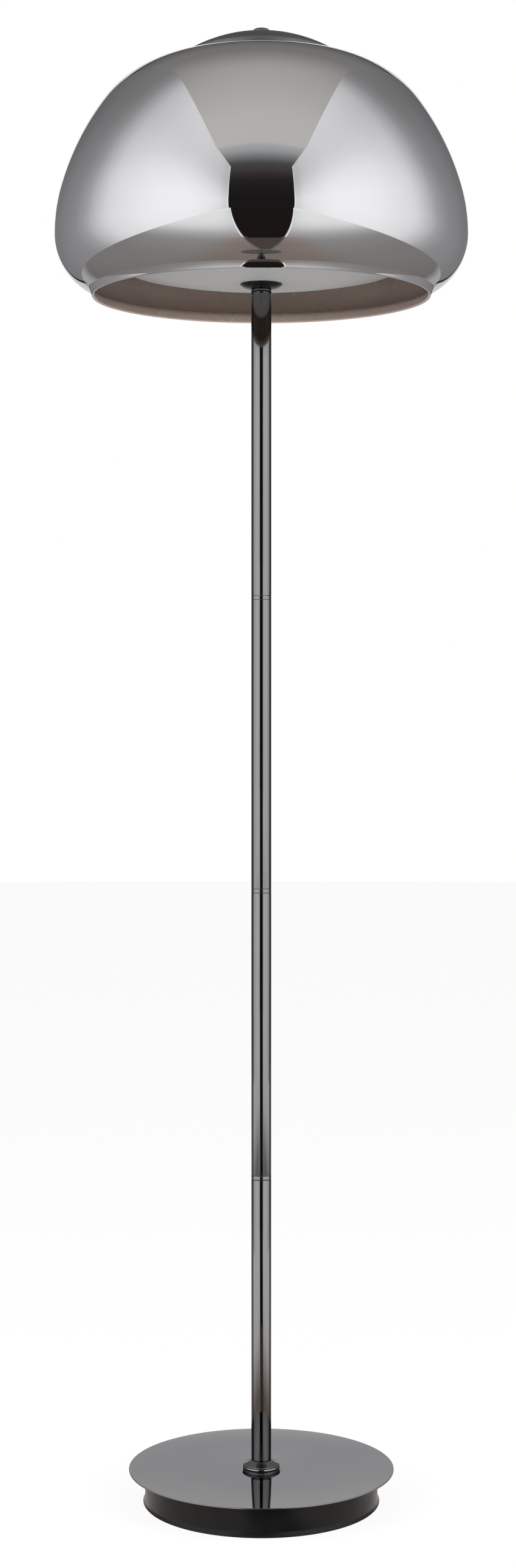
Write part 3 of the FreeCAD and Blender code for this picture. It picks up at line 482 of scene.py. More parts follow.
def raw_iron(colours):
    """Cast iron, dark grey with sand grain and a few rusty places."""
    return grained("cast_iron", (35, 8, (0.055, 0.050, 0.046), (0.13, 0.115, 0.10)), (80, 6, 0.55, 0.8),
                   (420, 5, 90e-6), Metallic=0.7)


def zinc_steel(colours):
    """Zinc plated steel, with small pale spangles."""
    made = Finish("zinc_plate", Metallic=1.0)
    made.colour(made.cells(260, output="Color"), (0.42, 0.43, 0.44), (0.62, 0.62, 0.60), 0.0, 1.0)
    made.rough(made.noise(120, 4), 0.24, 0.38)
    made.bump(made.noise(800, 3), 2e-6)
    return made


def hub_paint(colours):
    """White enamel of the hub."""
    return grained("white_enamel", (40, 4, (0.68, 0.68, 0.66), (0.76, 0.76, 0.74)), (70, 3, 0.26, 0.36),
                   (700, 2, 6e-6), Specular_IOR_Level=0.5)


def rubber(colours):
    """Soft black rubber with a dull, dusty skin."""
    return grained("dull_rubber", (60, 6, (0.012, 0.012, 0.012), (0.030, 0.029, 0.028)), (150, 4, 0.72, 0.9),
                   (900, 4, 12e-6), Specular_IOR_Level=0.3)


def black_plastic(colours):
    """Moulded black plastic with a spark-eroded grain."""
    made = grained("moulded_black", (50, 4, (0.011, 0.011, 0.012), (0.020, 0.020, 0.021)),
                   (110, 4, 0.36, 0.48), Specular_IOR_Level=0.5)
    made.bump(made.cells(1400), 9e-6)
    return made


def white_plastic(colours):
    """Moulded white plastic, slightly warm."""
    return grained("moulded_white", (45, 4, (0.74, 0.73, 0.69), (0.82, 0.81, 0.77)), (100, 3, 0.3, 0.42),
                   (800, 2, 6e-6), Specular_IOR_Level=0.5)


def brass(colours):
    """Stamped brass with a light tarnish."""
    return grained("stamped_brass", (55, 6, (0.60, 0.42, 0.16), (0.82, 0.62, 0.28)), (140, 4, 0.2, 0.34),
                   (900, 3, 3e-6), Metallic=1.0)


def nickel(colours):
    """Nickel plated shell, bright with fine scratches."""
    made = Finish("nickel_plate", Metallic=1.0)
    made.colour(made.noise(70, 5), (0.56, 0.53, 0.49), (0.72, 0.69, 0.64))
    made.rough(made.noise(700, 3, made.stretched(1, 1, 0.1)), 0.14, 0.26)
    made.bump(made.noise(900, 3), 2e-6)
    return made


def lead_sheath(colours):
    """Soft sheath of the leads."""
    return grained("soft_sheath", (50, 4, (0.018, 0.018, 0.019), (0.035, 0.035, 0.036)), (120, 3, 0.45, 0.6),
                   (700, 3, 8e-6), Specular_IOR_Level=0.4)


FINISHES = {made.__name__: made for made in (
    black_chrome, pole_chrome, smoked_mirror_glass, smoked_inner_glass, cap_chrome, drum_paint, opal,
    bulb_opal, raw_iron, zinc_steel, hub_paint, rubber, black_plastic, white_plastic, brass, nickel,
    lead_sheath)}
MADE = {}


def finish(name):
    """A finish by its name, made once."""
    if name not in MADE:
        MADE[name] = FINISHES[name](bpy.context.scene.lamp_colours).material
    return MADE[name]


# ---- pieces

class LAMP_OT_glass_shade(bpy.types.Operator):
    """Blown glass globe with its wall, neck and crown hole"""

    bl_idname = "lamp.glass_shade"
    bl_label = "Glass shade"

    UPPER_ARCS = ((0.8095, 16.1), (1.2648, 20.0), (0.5322, 38.0))   # share of the globe's radius, degrees
    LOWER_SHARE, CROWN_SHARE = 0.2832, 0.98
    NECK_HEIGHT = 5.6 * MM

    def execute(self, context):
        sizes = context.scene.lamp_sizes
        radius, low, _ = span("glass_shade")
        wall, hole = sizes.glass_wall, sizes.shade_hole
        lower, crown = radius * self.LOWER_SHARE, radius * self.CROWN_SHARE
        foot = low + wall * 0.35
        crease = foot + self.NECK_HEIGHT
        neck_top = sizes.neck_radius + sizes.neck_flare
        turn = math.acos(1 - (radius - neck_top - sizes.crease_run) / lower)
        # the lip and neck, from the rim up to the crease
        line = Outline(sizes.neck_radius - wall * 0.72, low).line(sizes.neck_radius - wall * 0.28, low)
        line.line(sizes.neck_radius, foot).line(neck_top, crease)
        line.face(math.degrees(math.pi / 2 - turn)).ahead(sizes.crease_run / math.sin(turn))
        # the outer side up to the hole
        line.arc(lower, turn, 24)
        for share, degrees in self.UPPER_ARCS:
            line.arc(radius * share, math.radians(degrees), 16)
        slope = math.pi - line.heading
        last = math.asin(math.sin(slope) - (line.tip.co.x - hole) / crown)
        line.arc(crown, slope - last, 14)
        # over the hole's edge and back down the inner side
        line.line(line.tip.co.x, line.tip.co.z - wall / math.cos(last))
        inner_end = self.upper_end(radius, wall)
        inner_last = math.asin(math.sin(slope) - (inner_end - hole) / (crown - wall))
        line.face(-math.degrees(inner_last)).arc(crown - wall, -(slope - inner_last), 14)
        for share, degrees in reversed(self.UPPER_ARCS):
            line.arc(radius * share - wall, -math.radians(degrees), 16)
        line.arc(lower - wall, -turn, 24)
        line.line(neck_top - wall, crease).line(sizes.neck_radius - wall, foot).closed()
        mesh = line.turned(sizes.segments + 64)
        made = piece("shade_glass", mesh,
                     ["smoked_mirror_glass", "smoked_inner_glass"], ["glass_shade"], 50)
        middle = Vector((0, 0, low + lower))
        for face in made.data.polygons:
            face.material_index = 0 if face.normal.dot(face.center - middle) > 0 else 1
        return {"FINISHED"}

    @classmethod
    def upper_end(cls, radius, wall):
        """Radius at which the inner upper arcs end."""
        reach, heading = radius - wall, math.pi / 2
        for share, degrees in cls.UPPER_ARCS:
            after = heading + math.radians(degrees)
            reach += (radius * share - wall) * (math.sin(after) - math.sin(heading))
            heading = after
        return reach


class LAMP_OT_top_cap(bpy.types.Operator):
    """Domed cap with its rolled edge, and the soft ring under it"""

    bl_idname = "lamp.top_cap"
    bl_label = "Top cap"

    def execute(self, context):
        sizes = context.scene.lamp_sizes
        radius, sheet = sizes.cap_radius, sizes.cap_sheet
        finial, _, crest = span("finial_nut")
        hole, seal_width = finial - 1.7 * MM, 2.8 * MM
        dome, edge = sizes.cap_dome, sizes.cap_edge
        full = math.asin((radius - edge) / (dome - edge))
        first, last = math.asin(hole / dome), math.asin(hole / (dome - sheet))
        line = Outline(hole, crest - sizes.finial_rise - dome * (1 - math.cos(first)))
        line.face(-math.degrees(first)).arc(dome, first - full, 30).arc(edge, full - math.pi / 2, 8)
        shoulder = line.tip.co.z
        low = shoulder - sizes.cap_skirt
        line.line(radius, low).line(radius - sheet, low).line(radius - sheet, shoulder)
        line.arc(edge - sheet, math.pi / 2 - full, 6).arc(dome - sheet, full - last, 30).closed()
        piece("cap_dome", line.turned(sizes.segments), ["cap_chrome"], ["top_cap"], 50)
        # the soft ring, whose under side follows the glass
        seat = radius - seal_width
        line = Outline(seat, low - 0.1 * MM).line(radius, low - sizes.seal).line(radius, low).line(seat, low)
        piece("cap_seal", line.closed().turned(sizes.segments), ["rubber"], ["cap_gasket"])
        return {"FINISHED"}


class LAMP_OT_finial(bpy.types.Operator):
    """Finial nut with its captive washer"""

    bl_idname = "lamp.finial"
    bl_label = "Finial"

    def execute(self, context):
        sizes = context.scene.lamp_sizes
        radius, low, high = span("finial_nut")
        under = high - sizes.finial_rise
        seat, bore_top = under + 0.6 * MM, high - 2.9 * MM
        neck = radius - 2.1 * MM
        line = Outline(PIPE_THREAD, low).line(neck, low).line(neck, seat).line(radius, seat)
        for share, drop in ((1, 3.6), (0.96, 1.6), (0.80, 0.6), (0.45, 0.12), (0, 0)):
            line.line(radius * share, high - drop * MM)
        line.line(0, bore_top).line(PIPE_THREAD, bore_top).closed().rounded(0.25 * MM, 2)
        piece("finial_head", line.turned(96), ["cap_chrome"], ["finial_nut"])
        washer = ring(neck + 0.05 * MM, span("finial_washer")[0], under, seat, 96, 0.15 * MM)
        piece("finial_ring", washer, ["cap_chrome"], ["finial_washer"])
        return {"FINISHED"}


class LAMP_OT_base(bpy.types.Operator):
    """Polished plate, satin drum and foot pads"""

    bl_idname = "lamp.base"
    bl_label = "Base"

    def execute(self, context):
        sizes = context.scene.lamp_sizes
        radius, low, high = span("base_plate")
        plate = ring(PIPE_PASS, radius, low, high, sizes.segments, 0.45 * MM)
        piece("plate", plate, ["black_chrome"], ["base_plate"])
        hem, floor, deck = span("base_housing")
        side, reach = hem - sizes.hem_reach, sizes.hem_reach
        sheet, edge, lip = 1.5 * MM, 0.9 * MM, 0.9 * MM
        line = Outline(PIPE_PASS, deck).line(side - edge, deck).face(0).arc(edge, -math.pi / 2, 5)
        line.line(side, floor + sizes.hem_height)
        drop = sizes.hem_height - lip
        bend = (drop ** 2 + reach ** 2) / (2 * reach)
        line.face(-90).arc(bend, math.asin(drop / bend), 8)
        line.line(hem, floor + 0.5 * MM).line(hem - 0.5 * MM, floor).line(side - sheet, floor)
        line.line(side - sheet, deck - sheet).line(PIPE_PASS, deck - sheet)
        drum = line.closed().turned(sizes.segments)
        piece("drum", drum, ["drum_paint"], ["base_housing"], 50)
        pad_low, pad_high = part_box("foot_pads")
        pad_radius, count = 9 * MM, 6
        pads = []
        for number in range(count):
            pad = disc(pad_radius, pad_low.z, pad_high.z, 48, 0.6 * MM)
            pads.append(moved(pad, Matrix.Translation((pad_high.x - pad_radius, 0, 0)),
                              Matrix.Rotation(math.tau * number / count, 4, "Z")))
        piece("pads", joined(*pads), ["rubber"], ["foot_pads"])
        return {"FINISHED"}


class LAMP_OT_cord_gland(bpy.types.Operator):
    """Gland for the supply cord in the drum's back"""

    bl_idname = "lamp.cord_gland"
    bl_label = "Cord gland"

    def execute(self, context):
        low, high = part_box("cord_gland")
        bore, screw, nose, flange = 3.5 * MM, 6 * MM, 6.5 * MM, 9 * MM
        end = high.y - low.y
        seat = end - 9.5 * MM
        line = Outline(bore, 0).line(screw, 0).line(screw, seat).line(flange, seat)
        line.line(flange, seat + 2.5 * MM).line(nose + 0.8 * MM, seat + 2.5 * MM)
        line.line(nose, end).line(bore, end).closed().rounded(0.5 * MM)
        gland = moved(line.turned(64), Matrix.Rotation(-math.pi / 2, 4, "X"),
                      Matrix.Translation((0, low.y, (low.z + high.z) / 2)))
        piece("gland", gland, ["black_plastic"], ["cord_gland"])
        return {"FINISHED"}


class LAMP_OT_pole(bpy.types.Operator):
    """Collar, four tubes, their rings and the neck ring"""

    bl_idname = "lamp.pole"
    bl_label = "Pole"

    def execute(self, context):
        sizes = context.scene.lamp_sizes
        outer = span("pole_tube_1")[0]
        bore = outer - sizes.tube_wall
        parts = [(f"tube_{k}", f"pole_tube_{k}", bore, 0.22 * MM) for k in range(1, 5)]
        parts += [(f"ring_{k}", f"joint_ring_{k}", bore, 0.55 * MM) for k in range(1, 4)]
        parts.append(("neck", "neck_ring", PIPE_PASS, 0.55 * MM))
        for name, node, inner, edge in parts:
            _, low, high = span(node)
            piece(name, ring(inner, outer, low, high, 96, edge), ["pole_chrome"], [node])
        self.collar(outer)
        return {"FINISHED"}

    @staticmethod
    def collar(tube):
        """Cone over a grooved flange, at the pole's foot."""
        radius, low, high = span("base_collar")
        rim = high - 3.7 * MM
        line = Outline(PIPE_PASS, low).line(radius - 0.5 * MM, low).line(radius - 0.15 * MM, low + 0.5 * MM)
        line.line(radius - 0.4 * MM, low + 1.1 * MM).line(radius - 0.8 * MM, (low + rim) / 2)
        line.line(radius - 0.2 * MM, rim - 0.6 * MM).line(radius, rim - 0.3 * MM).line(radius - 0.2 * MM, rim)
        line.line(tube + 3.6 * MM, rim + 1.7 * MM).line(tube + 1.2 * MM, high - 0.75 * MM).line(tube, high)
        line.line(PIPE_PASS, high).closed().rounded(0.25 * MM, 3)
        piece("collar", line.turned(160), ["black_chrome"], ["base_collar"], 50)


class LAMP_OT_cup_and_diffuser(bpy.types.Operator):
    """Dished cup and the opal dish on it"""

    bl_idname = "lamp.cup_and_diffuser"
    bl_label = "Cup and diffuser"

    def execute(self, context):
        sizes = context.scene.lamp_sizes
        radius, low, high = span("shade_cup")
        tube = span("neck_ring")[0]
        line = Outline(PIPE_PASS, low).line(tube, low).line(tube + 4.2 * MM, low + 0.7 * MM)
        line.line(radius - 3.4 * MM, low + 1.8 * MM).line(radius - 1.1 * MM, low + 3.4 * MM)
        line.line(radius, high).line(radius - 1.6 * MM, high).line(radius - 5.0 * MM, low + 2.8 * MM)
        line.line(tube - 1 * MM, low + 1.6 * MM).line(PIPE_PASS, low + 1.6 * MM).closed().rounded(0.6 * MM, 3)
        piece("cup", line.turned(128), ["drum_paint"], ["shade_cup"], 50)
        radius, low, high = span("diffuser")
        thick = 3 * MM
        reach, rise = radius - thick * 0.4, high - thick - low
        bend = (reach ** 2 + rise ** 2) / (2 * rise)
        start, full = math.asin(PIPE_PASS / bend), math.asin(reach / bend)
        line = Outline(PIPE_PASS, low).face(math.degrees(start)).arc(bend, full - start, 28)
        line.line(radius, high - thick / 2).line(reach, high)
        line.face(180 + math.degrees(full)).arc(bend, start - full, 28).closed().rounded(0.8 * MM, 3)
        piece("dish", line.turned(sizes.segments), ["opal"], ["diffuser"], 50)
        return {"FINISHED"}


class LAMP_OT_hub(bpy.types.Operator):
    """Hub with its lid, and the threaded rod through them"""

    bl_idname = "lamp.hub"
    bl_label = "Hub and rod"

    def execute(self, context):
        sizes = context.scene.lamp_sizes
        radius, low, high = span("lamp_hub")
        wall, floor = 3 * MM, 2 * MM
        line = Outline(PIPE_PASS, low).line(radius, low).line(radius, high).line(radius - wall, high)
        line.line(radius - wall, low + floor).line(PIPE_PASS, low + floor).closed().rounded(0.8 * MM, 3)
        piece("hub", line.turned(96), ["hub_paint"], ["lamp_hub"])
        radius, low, high = span("hub_cover")
        spigot = radius - wall - 0.05 * MM
        line = Outline(PIPE_PASS, low).line(spigot, low).line(spigot, low + floor).line(radius, low + floor)
        line.line(radius, high).line(PIPE_PASS, high).closed().rounded(0.5 * MM, 3)
        piece("hub_lid", line.turned(96), ["hub_paint"], ["hub_cover"])
        radius, low, high = span("center_rod")
        rod = thread(radius - 0.45 * MM, radius, sizes.thread_pitch, low, high, 32)
        piece("rod", rod, ["zinc_steel"], ["center_rod"], 80)
        return {"FINISHED"}


HOLDER_START, HOLDER_LENGTH, HOLDER_FLOOR = 38 * MM, 44 * MM, 14 * MM   # along a lamp arm


class LAMP_OT_lampholders(bpy.types.Operator):
    """Three lampholders with a ribbed grip"""

    bl_idname = "lamp.lampholders"
    bl_label = "Lampholders"

    def execute(self, context):
        start, end, floor = HOLDER_START, HOLDER_START + HOLDER_LENGTH, HOLDER_START + HOLDER_FLOOR
        radius, bore, screw_hole, pipe_end = 19 * MM, 14.15 * MM, 1.55 * MM, start + 9.05 * MM
        ribs, first_rib, rib_pitch, rib_depth = 9, 7 * MM, 3.2 * MM, 0.7 * MM
        for arm in range(3):
            line = Outline(PIPE_THREAD, start).line(radius - 3 * MM, start).line(radius, start + 3 * MM)
            for rib in range(ribs):
                z = start + first_rib + rib_pitch * rib
                line.line(radius, z).line(radius - rib_depth, z + 0.5 * MM)
                line.line(radius - rib_depth, z + 1.5 * MM).line(radius, z + 2.0 * MM)
            line.line(radius, end - 2 * MM).line(radius - 2 * MM, end).line(bore, end).line(bore, floor)
            line.line(screw_hole, floor).line(screw_hole, pipe_end).line(PIPE_THREAD, pipe_end)
            holder = on_arm(line.closed().rounded(0.3 * MM, 2).turned(72), arm)
            piece(f"holder_{arm + 1}", holder, ["black_plastic"], [f"lampholder_{arm + 1}"])
        return {"FINISHED"}


class LAMP_OT_bulbs(bpy.types.Operator):
    """Three bulbs: a rolled screw cap and an opal ball"""

    bl_idname = "lamp.bulbs"
    bl_label = "Bulbs"

    def execute(self, context):
        contact, gap, tip, reach = 4.2 * MM, 0.3 * MM, 1.5 * MM, 90 * MM
        low = HOLDER_START + HOLDER_FLOOR + contact + gap + tip
        seat, ball, neck = low + 17 * MM, 30 * MM, 12 * MM
        turn = math.acos(neck / ball)
        shoulder = low + reach - ball - ball * math.sin(turn)
        for arm in range(3):
            plain = Outline(0, low - tip).line(4 * MM, low - tip).line(5 * MM, low)
            plain.line(10.2 * MM, low).line(12.2 * MM, low + 2.6 * MM).line(12.2 * MM, low + 24.6 * MM)
            plain.line(13.2 * MM, low + 24.8 * MM).line(12.05 * MM, low + 25 * MM)
            plain.line(12.0 * MM, seat).line(0, seat).rounded(0.3 * MM, 2)
            screw = thread(12.0 * MM, 13.1 * MM, 3.6 * MM, low + 3.4 * MM, low + 24.5 * MM, 48)
            cap = on_arm(joined(plain.turned(64), screw), arm)
            piece(f"screw_cap_{arm + 1}", cap, ["nickel"], [f"bulb_cap_{arm + 1}"], 60)
            glass = Outline(neck, seat + 0.05 * MM).line(neck, shoulder - 2.2 * MM)
            glass.line(neck + 0.55 * MM, shoulder + 0.4 * MM)
            glass.face(math.degrees(math.pi / 2 - turn)).arc(ball, math.pi / 2 + turn, 40)
            self.close_pole(glass)
            body = on_arm(glass.turned(96), arm)
            piece(f"ball_{arm + 1}", body, ["bulb_opal"], [f"bulb_globe_{arm + 1}"])
        return {"FINISHED"}

    @staticmethod
    def close_pole(line):
        """Sets the end of an outline on the axis."""
        off = line.tip.co.x
        for vert in line.mesh.verts:
            if vert.co.x < 1e-4 or vert is line.tip:
                vert.co.x = max(0.0, vert.co.x - off)


class LAMP_OT_fittings(bpy.types.Operator):
    """Finishes of the pieces that keep their CAD shape"""

    bl_idname = "lamp.fittings"
    bl_label = "Fittings"

    def execute(self, context):
        slots = {entry["node"]: entry["material_slot"] for entry in frame["record"]["subparts"]}
        for node, held in frame["nodes"].items():
            if not held.hide_render:
                held.data.materials.clear()
                held.data.materials.append(finish(slots[node]))
        return {"FINISHED"}


# ---- studio

class Shine:
    """An emission whose level follows the place, for the studio's cloths and the floor's painted light in
    mirrors.
    """

    def __init__(self, name):
        self.material = bpy.data.materials.new(name)
        self.material.use_nodes = True
        self.nodes = self.material.node_tree.nodes
        self.links = self.material.node_tree.links
        self.nodes.clear()
        self.out = self.nodes.new("ShaderNodeOutputMaterial")
        self.glow = self.nodes.new("ShaderNodeEmission")
        split = self.nodes.new("ShaderNodeSeparateXYZ")
        self.links.new(self.nodes.new("ShaderNodeTexCoord").outputs["Object"], split.inputs[0])
        self.axis = split.outputs

    def maths(self, operation, first, second=0.0):
        """One step of arithmetic on values or numbers."""
        node = self.nodes.new("ShaderNodeMath")
        node.operation = operation
        for socket, value in zip(node.inputs, (first, second)):
            if isinstance(value, float):
                socket.default_value = value
            else:
                self.links.new(value, socket)
        return node.outputs[0]

    def spread(self, value, low, high):
        """A step that carries a range of a value to a share from 0 to 1."""
        node = self.nodes.new("ShaderNodeMapRange")
        node.inputs["From Min"].default_value = low
        node.inputs["From Max"].default_value = high
        self.links.new(value, node.inputs["Value"])
        return node

    def ramp(self, value, low, high):
        """A smooth share from 0 to 1, after a value."""
        node = self.spread(value, low, high)
        node.interpolation_type = "SMOOTHSTEP"
        return node.outputs["Result"]

    def between(self, low, high, share):
        """A level from one value to another, after a share."""
        return self.maths("ADD", self.maths("MULTIPLY", self.maths("SUBTRACT", high, low), share), low)

    def stops(self, value, *stops):
        """A level or colour that passes through stops, each (place, level) or (place, colour)."""
        low, high = stops[0][0], stops[-1][0]
        ramp = self.nodes.new("ShaderNodeValToRGB")
        ramp.color_ramp.interpolation = "CARDINAL"
        for _ in stops[2:]:
            ramp.color_ramp.elements.new(0.5)
        for element, (at, level) in zip(ramp.color_ramp.elements, stops):
            element.position = (at - low) / (high - low)
            element.color = (*level, 1) if isinstance(level, tuple) else (level, level, level, 1)
        self.links.new(self.spread(value, low, high).outputs[0], ramp.inputs["Fac"])
        return ramp.outputs["Color"]

    def lit(self, level=1.0, colour=(1.0, 1.0, 1.0)):
        """Sets the level and the colour, each a number or a value."""
        for socket, value in ((self.glow.inputs["Strength"], level), (self.glow.inputs["Color"], colour)):
            if isinstance(value, bpy.types.NodeSocket):
                self.links.new(value, socket)
            else:
                socket.default_value = (*value, 1) if isinstance(value, tuple) else value
        self.links.new(self.glow.outputs[0], self.out.inputs["Surface"])
        return self


def cloth(name, low, high, shine):
    """A flat sheet between two corners that only mirrors see."""
    low, high = Vector(low), Vector(high)
    size = high - low
    mesh = bmesh.new()
    bmesh.ops.create_cube(mesh, size=1.0)
    flat = [k for k in range(3) if size[k] < 1e-6][0]
    faces = [face for face in mesh.faces if face.normal[flat] < 0.5]
    bmesh.ops.delete(mesh, geom=faces, context="FACES")
    moved(mesh, Matrix.Diagonal((*[part or 1e-4 for part in size], 1)), Matrix.Translation((low + high) / 2))
    made = placed(name, mesh, shine.material)
    made.visible_camera = made.visible_diffuse = made.visible_shadow = made.visible_transmission = False


class LAMP_OT_studio(bpy.types.Operator):
    """Floor, diffusion walls, lamps and camera"""

    bl_idname = "lamp.studio"
    bl_label = "Studio"

    POST, BEAM = 0.25, 0.5               # the dark posts and beam at the open back
    FLOOR_RADIUS = 9
    WAY_SHIFT, WAY_SPREAD = 0.03, 0.30   # the dark way on the floor: its middle, and half its width per metre
    WAY_END = (-0.80, -0.67)             # where it ends in front of the lamp, along Y
    SIDE_LAMP, SIDE_AIM = (1.9, -1.2, 1.5), (0, 0, 0.9)
    SIDE_SIZE = (1.6, 2.2)
    EYE = (-0.0033, -2.489, 0.7954)

    def execute(self, context):
        studio = context.scene.lamp_studio
        self.walls(studio)
        self.floor()
        self.air(studio)
        self.lamps(studio)
        self.camera(context)
        return {"FINISHED"}

    def walls(self, studio):
        """Diffusion walls, ceiling, a dark front sheet of painted shade, and the dark posts at the open back.
        """
        wide, tall, front, back = studio.half_width, studio.height, studio.front, studio.back
        wall = Shine("diffusion_cloth")
        rise = wall.stops(wall.axis["Z"], (0.0, 0.96), (1.2, 1.0), (2.1, 0.98), (2.9, 0.82), (3.6, 0.71),
                          (tall, 0.72))
        run = wall.stops(wall.axis["Y"], (-front, 1.25), (-front + 0.16, 0.78), (-4.8, 0.86), (-3.2, 0.96),
                         (-2.0, 1.0), (-0.8, 0.93), (0.0, 0.75), (0.5, 0.47), (1.0, 0.33), (2.0, 0.31),
                         (back, 0.33))
        wall.lit(wall.maths("MULTIPLY", wall.maths("MULTIPLY", rise, run), studio.wall), (1.0, 1.0, 1.015))
        over = Shine("ceiling_cloth")
        along = over.axis["Y"]
        level = over.stops(along, (-front, 0.07), (-5.6, 0.15), (-4.8, 0.32), (-4.0, 0.50), (-3.2, 0.55),
                           (-1.6, 0.50), (0.0, 0.39), (1.6, 0.26), (3.2, 0.26), (back, 0.2))
        cold, middle, warm = (0.86, 0.87, 0.89), (0.93, 0.92, 0.91), (1.0, 0.975, 0.93)
        over.lit(level, over.stops(over.ramp(along, -3.85, -3.80), (0.0, cold), (0.5, middle), (1.0, warm)))
        # painted shade: a dark sheet in front, where the studio is dark, for the mirrors to show
        dark = Shine("front_painted_shade")
        level = dark.stops(dark.axis["Z"], (0.0, 0.012), (3.0, 0.015), (4.0, 0.03), (tall, 0.07))
        dark.lit(level, (1.0, 0.9, 0.86))
        post = Shine("dark_post").lit(0.06)
        for name, x in (("wall_left", -wide), ("wall_right", wide)):
            cloth(name, (x, -front, 0), (x, back, tall), wall)
        cloth("ceiling", (-wide, -front, tall), (wide, back, tall), over)
        cloth("front", (-wide, -front, 0), (wide, -front, tall), dark)
        cloth("post_left", (-wide, back, 0), (-wide + self.POST, back, tall), post)
        cloth("post_right", (wide - self.POST, back, 0), (wide, back, tall), post)
        cloth("beam", (-wide, back, tall - self.BEAM), (wide, back, tall), post)

    def floor(self):
        """Pale floor: white to the camera but for the lamp's shadow, and with painted light in mirrors."""
        mesh = bmesh.new()
        bmesh.ops.create_circle(mesh, cap_ends=True, segments=96, radius=self.FLOOR_RADIUS)
        shine = Shine("pale_floor")
        self.floor_light(shine)
        nodes, links = shine.nodes, shine.links
        matte = nodes.new("ShaderNodeBsdfDiffuse")
        matte.inputs["Color"].default_value = (0.86, 0.86, 0.86, 1)
        white = nodes.new("ShaderNodeEmission")
        clear = nodes.new("ShaderNodeBsdfTransparent")
        glossy = nodes.new("ShaderNodeLightPath").outputs["Is Glossy Ray"]
        below = nodes.new("ShaderNodeNewGeometry").outputs["Backfacing"]
        surface = matte.outputs[0]
        for share, after in ((0.9, white), (glossy, shine.glow), (below, clear)):
            mix = nodes.new("ShaderNodeMixShader")
            links.new(surface, mix.inputs[1])
            links.new(after.outputs[0], mix.inputs[2])
            if isinstance(share, float):
                mix.inputs["Fac"].default_value = share
            else:
                links.new(share, mix.inputs["Fac"])
            surface = mix.outputs[0]
        links.new(surface, shine.out.inputs["Surface"])
        made = placed("floor", mesh, shine.material)

    def floor_light(self, shine):
        """Painted light of the floor in mirrors: lit in front, dark between the walls, brown near the foot.
        """
        ahead = shine.axis["Y"]
        aside = shine.maths("ABSOLUTE", shine.maths("SUBTRACT", shine.axis["X"], self.WAY_SHIFT))
        past_way = shine.maths("ADD", aside, shine.maths("MULTIPLY", ahead, self.WAY_SPREAD))
        open_side = shine.stops(past_way, (0.0, 0.85), (0.2, 0.95), (0.5, 1.0))
        # painted pool of light: brighter in front of the lamp, dimmer beside and behind it
        lit = shine.stops(ahead, (-6.4, 0.86), (-2.2, 0.90), (-1.4, 0.78), (-1.0, 0.54), (-0.6, 0.33),
                          (0.0, 0.25), (0.8, 0.23), (6.0, 0.23))
        # painted sheen where the floor is seen at a grazing angle
        facing = shine.nodes.new("ShaderNodeLayerWeight").outputs["Facing"]
        painted_sheen = shine.stops(facing, (0.5, 0.0), (0.62, 0.35), (0.72, 0.9), (1.0, 1.0))
        painted_sheen = shine.maths("MULTIPLY", painted_sheen, shine.between(1.0, 0.62, shine.ramp(ahead, 0.0, 1.0)))
        bright = shine.maths("MULTIPLY", open_side, shine.maths("MAXIMUM", lit, painted_sheen))
        # a thin painted highlight beside the dark way, which is round at its near end
        near = shine.ramp(ahead, *self.WAY_END)
        line = shine.stops(past_way, (-0.008, 0.0), (0.0, 1.0), (0.008, 1.0), (0.018, 0.0))
        bright = shine.between(bright, 1.0, shine.maths("MULTIPLY", line, shine.between(1.0, 0.0, near)))
        # painted shade along the dark way: dim close to the lamp, nearly black further out
        bright = shine.between(shine.between(bright, 0.075, near), bright, shine.ramp(past_way, -0.02, 0.02))
        side = shine.ramp(past_way, -0.08, 0.0)
        round_end = shine.maths("ADD", shine.maths("POWER", side, 2.0), shine.maths("POWER", near, 2.0))
        level = shine.between(0.012, bright, shine.ramp(round_end, 0.7, 1.0))
        # painted shade, browner close in front of the foot
        foot = shine.maths("MULTIPLY", near, shine.between(0.8, 0.0, shine.ramp(aside, 0.25, 0.6)))
        toned = shine.maths("MULTIPLY", level, shine.between(1.0, 0.0, foot))
        tone = shine.stops(toned, (0.0, (1.0, 0.80, 0.70)), (0.2, (1.0, 0.93, 0.90)), (0.5, (1.0, 1.0, 1.0)))
        shine.lit(level, tone)

    @staticmethod
    def air(studio):
        """Soft light all round, and white to the camera, mirrors and glass."""
        world = bpy.data.worlds.new("studio_air")
        bpy.context.scene.world = world
        world.use_nodes = True
        nodes, links = world.node_tree.nodes, world.node_tree.links
        nodes.clear()
        path = nodes.new("ShaderNodeLightPath").outputs
        seen = path["Is Camera Ray"]
        for ray in ("Is Glossy Ray", "Is Transmission Ray"):
            either = nodes.new("ShaderNodeMath")
            either.operation = "MAXIMUM"
            links.new(seen, either.inputs[0])
            links.new(path[ray], either.inputs[1])
            seen = either.outputs[0]
        both = nodes.new("ShaderNodeMixShader")
        links.new(seen, both.inputs["Fac"])
        for socket, strength in ((1, studio.fill), (2, 1.0)):
            background = nodes.new("ShaderNodeBackground")
            background.inputs["Color"].default_value = (1, 1, 1, 1)
            background.inputs["Strength"].default_value = strength
            links.new(background.outputs[0], both.inputs[socket])
        links.new(both.outputs[0], nodes.new("ShaderNodeOutputWorld").inputs["Surface"])

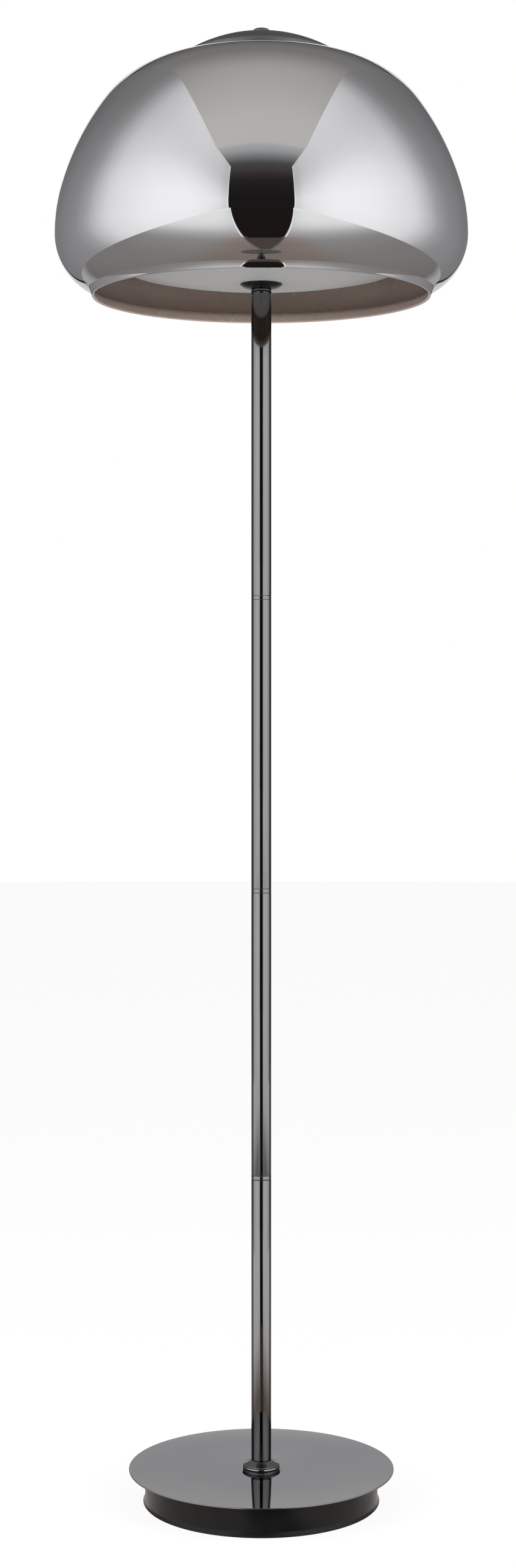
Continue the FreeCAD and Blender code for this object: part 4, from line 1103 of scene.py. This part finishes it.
    def lamps(self, studio):
        """A soft lamp on each side, which only lights."""
        x, y, z = self.SIDE_LAMP
        for name, side in (("lamp_left", -x), ("lamp_right", x)):
            data = bpy.data.lights.new(name, "AREA")
            data.shape = "RECTANGLE"
            data.size, data.size_y = self.SIDE_SIZE
            data.energy = studio.side
            lamp = bpy.data.objects.new(name, data)
            lamp.location = (side, y, z)
            lamp.rotation_euler = (Vector(self.SIDE_AIM) - lamp.location).to_track_quat("-Z", "Y").to_euler()
            lamp.visible_camera = lamp.visible_glossy = False
            bpy.context.scene.collection.objects.link(lamp)

    def camera(self, context):
        """The photograph's view."""
        studio = context.scene.lamp_studio
        data = bpy.data.cameras.new("camera")
        data.sensor_fit = "VERTICAL"
        data.sensor_height = 36
        data.lens = studio.lens
        data.clip_end = 50
        made = bpy.data.objects.new("camera", data)
        made.location = self.EYE
        made.rotation_euler = (math.pi / 2 - studio.tilt, 0, 0)
        context.scene.collection.objects.link(made)
        context.scene.camera = made


# ---- panel and run

PIECES = (LAMP_OT_glass_shade, LAMP_OT_top_cap, LAMP_OT_finial, LAMP_OT_base, LAMP_OT_cord_gland,
          LAMP_OT_pole, LAMP_OT_cup_and_diffuser, LAMP_OT_hub, LAMP_OT_lampholders, LAMP_OT_bulbs,
          LAMP_OT_fittings, LAMP_OT_studio)


class LAMP_PT_panel(bpy.types.Panel):
    """Sidebar panel with every step of the lamp"""

    bl_idname = "LAMP_PT_panel"
    bl_label = "Floor Lamp"
    bl_space_type = "VIEW_3D"
    bl_region_type = "UI"
    bl_category = "Floor Lamp"

    def draw(self, context):
        for step in PIECES:
            self.layout.operator(step.bl_idname)


CLASSES = (LampSizes, LampColours, StudioSettings, *PIECES, LAMP_PT_panel)


def register():
    for cls in CLASSES:
        bpy.utils.register_class(cls)
    bpy.types.Scene.lamp_sizes = PointerProperty(type=LampSizes)
    bpy.types.Scene.lamp_colours = PointerProperty(type=LampColours)
    bpy.types.Scene.lamp_studio = PointerProperty(type=StudioSettings)


def unregister():
    del bpy.types.Scene.lamp_studio
    del bpy.types.Scene.lamp_colours
    del bpy.types.Scene.lamp_sizes
    for cls in reversed(CLASSES):
        bpy.utils.unregister_class(cls)


def main():
    """Makes every piece, then the studio."""
    register()
    bpy.context.scene.view_settings.view_transform = "Standard"
    for step in PIECES:
        group, name = step.bl_idname.split(".")
        getattr(getattr(bpy.ops, group), name)()


if __name__ == "__main__":
    main()
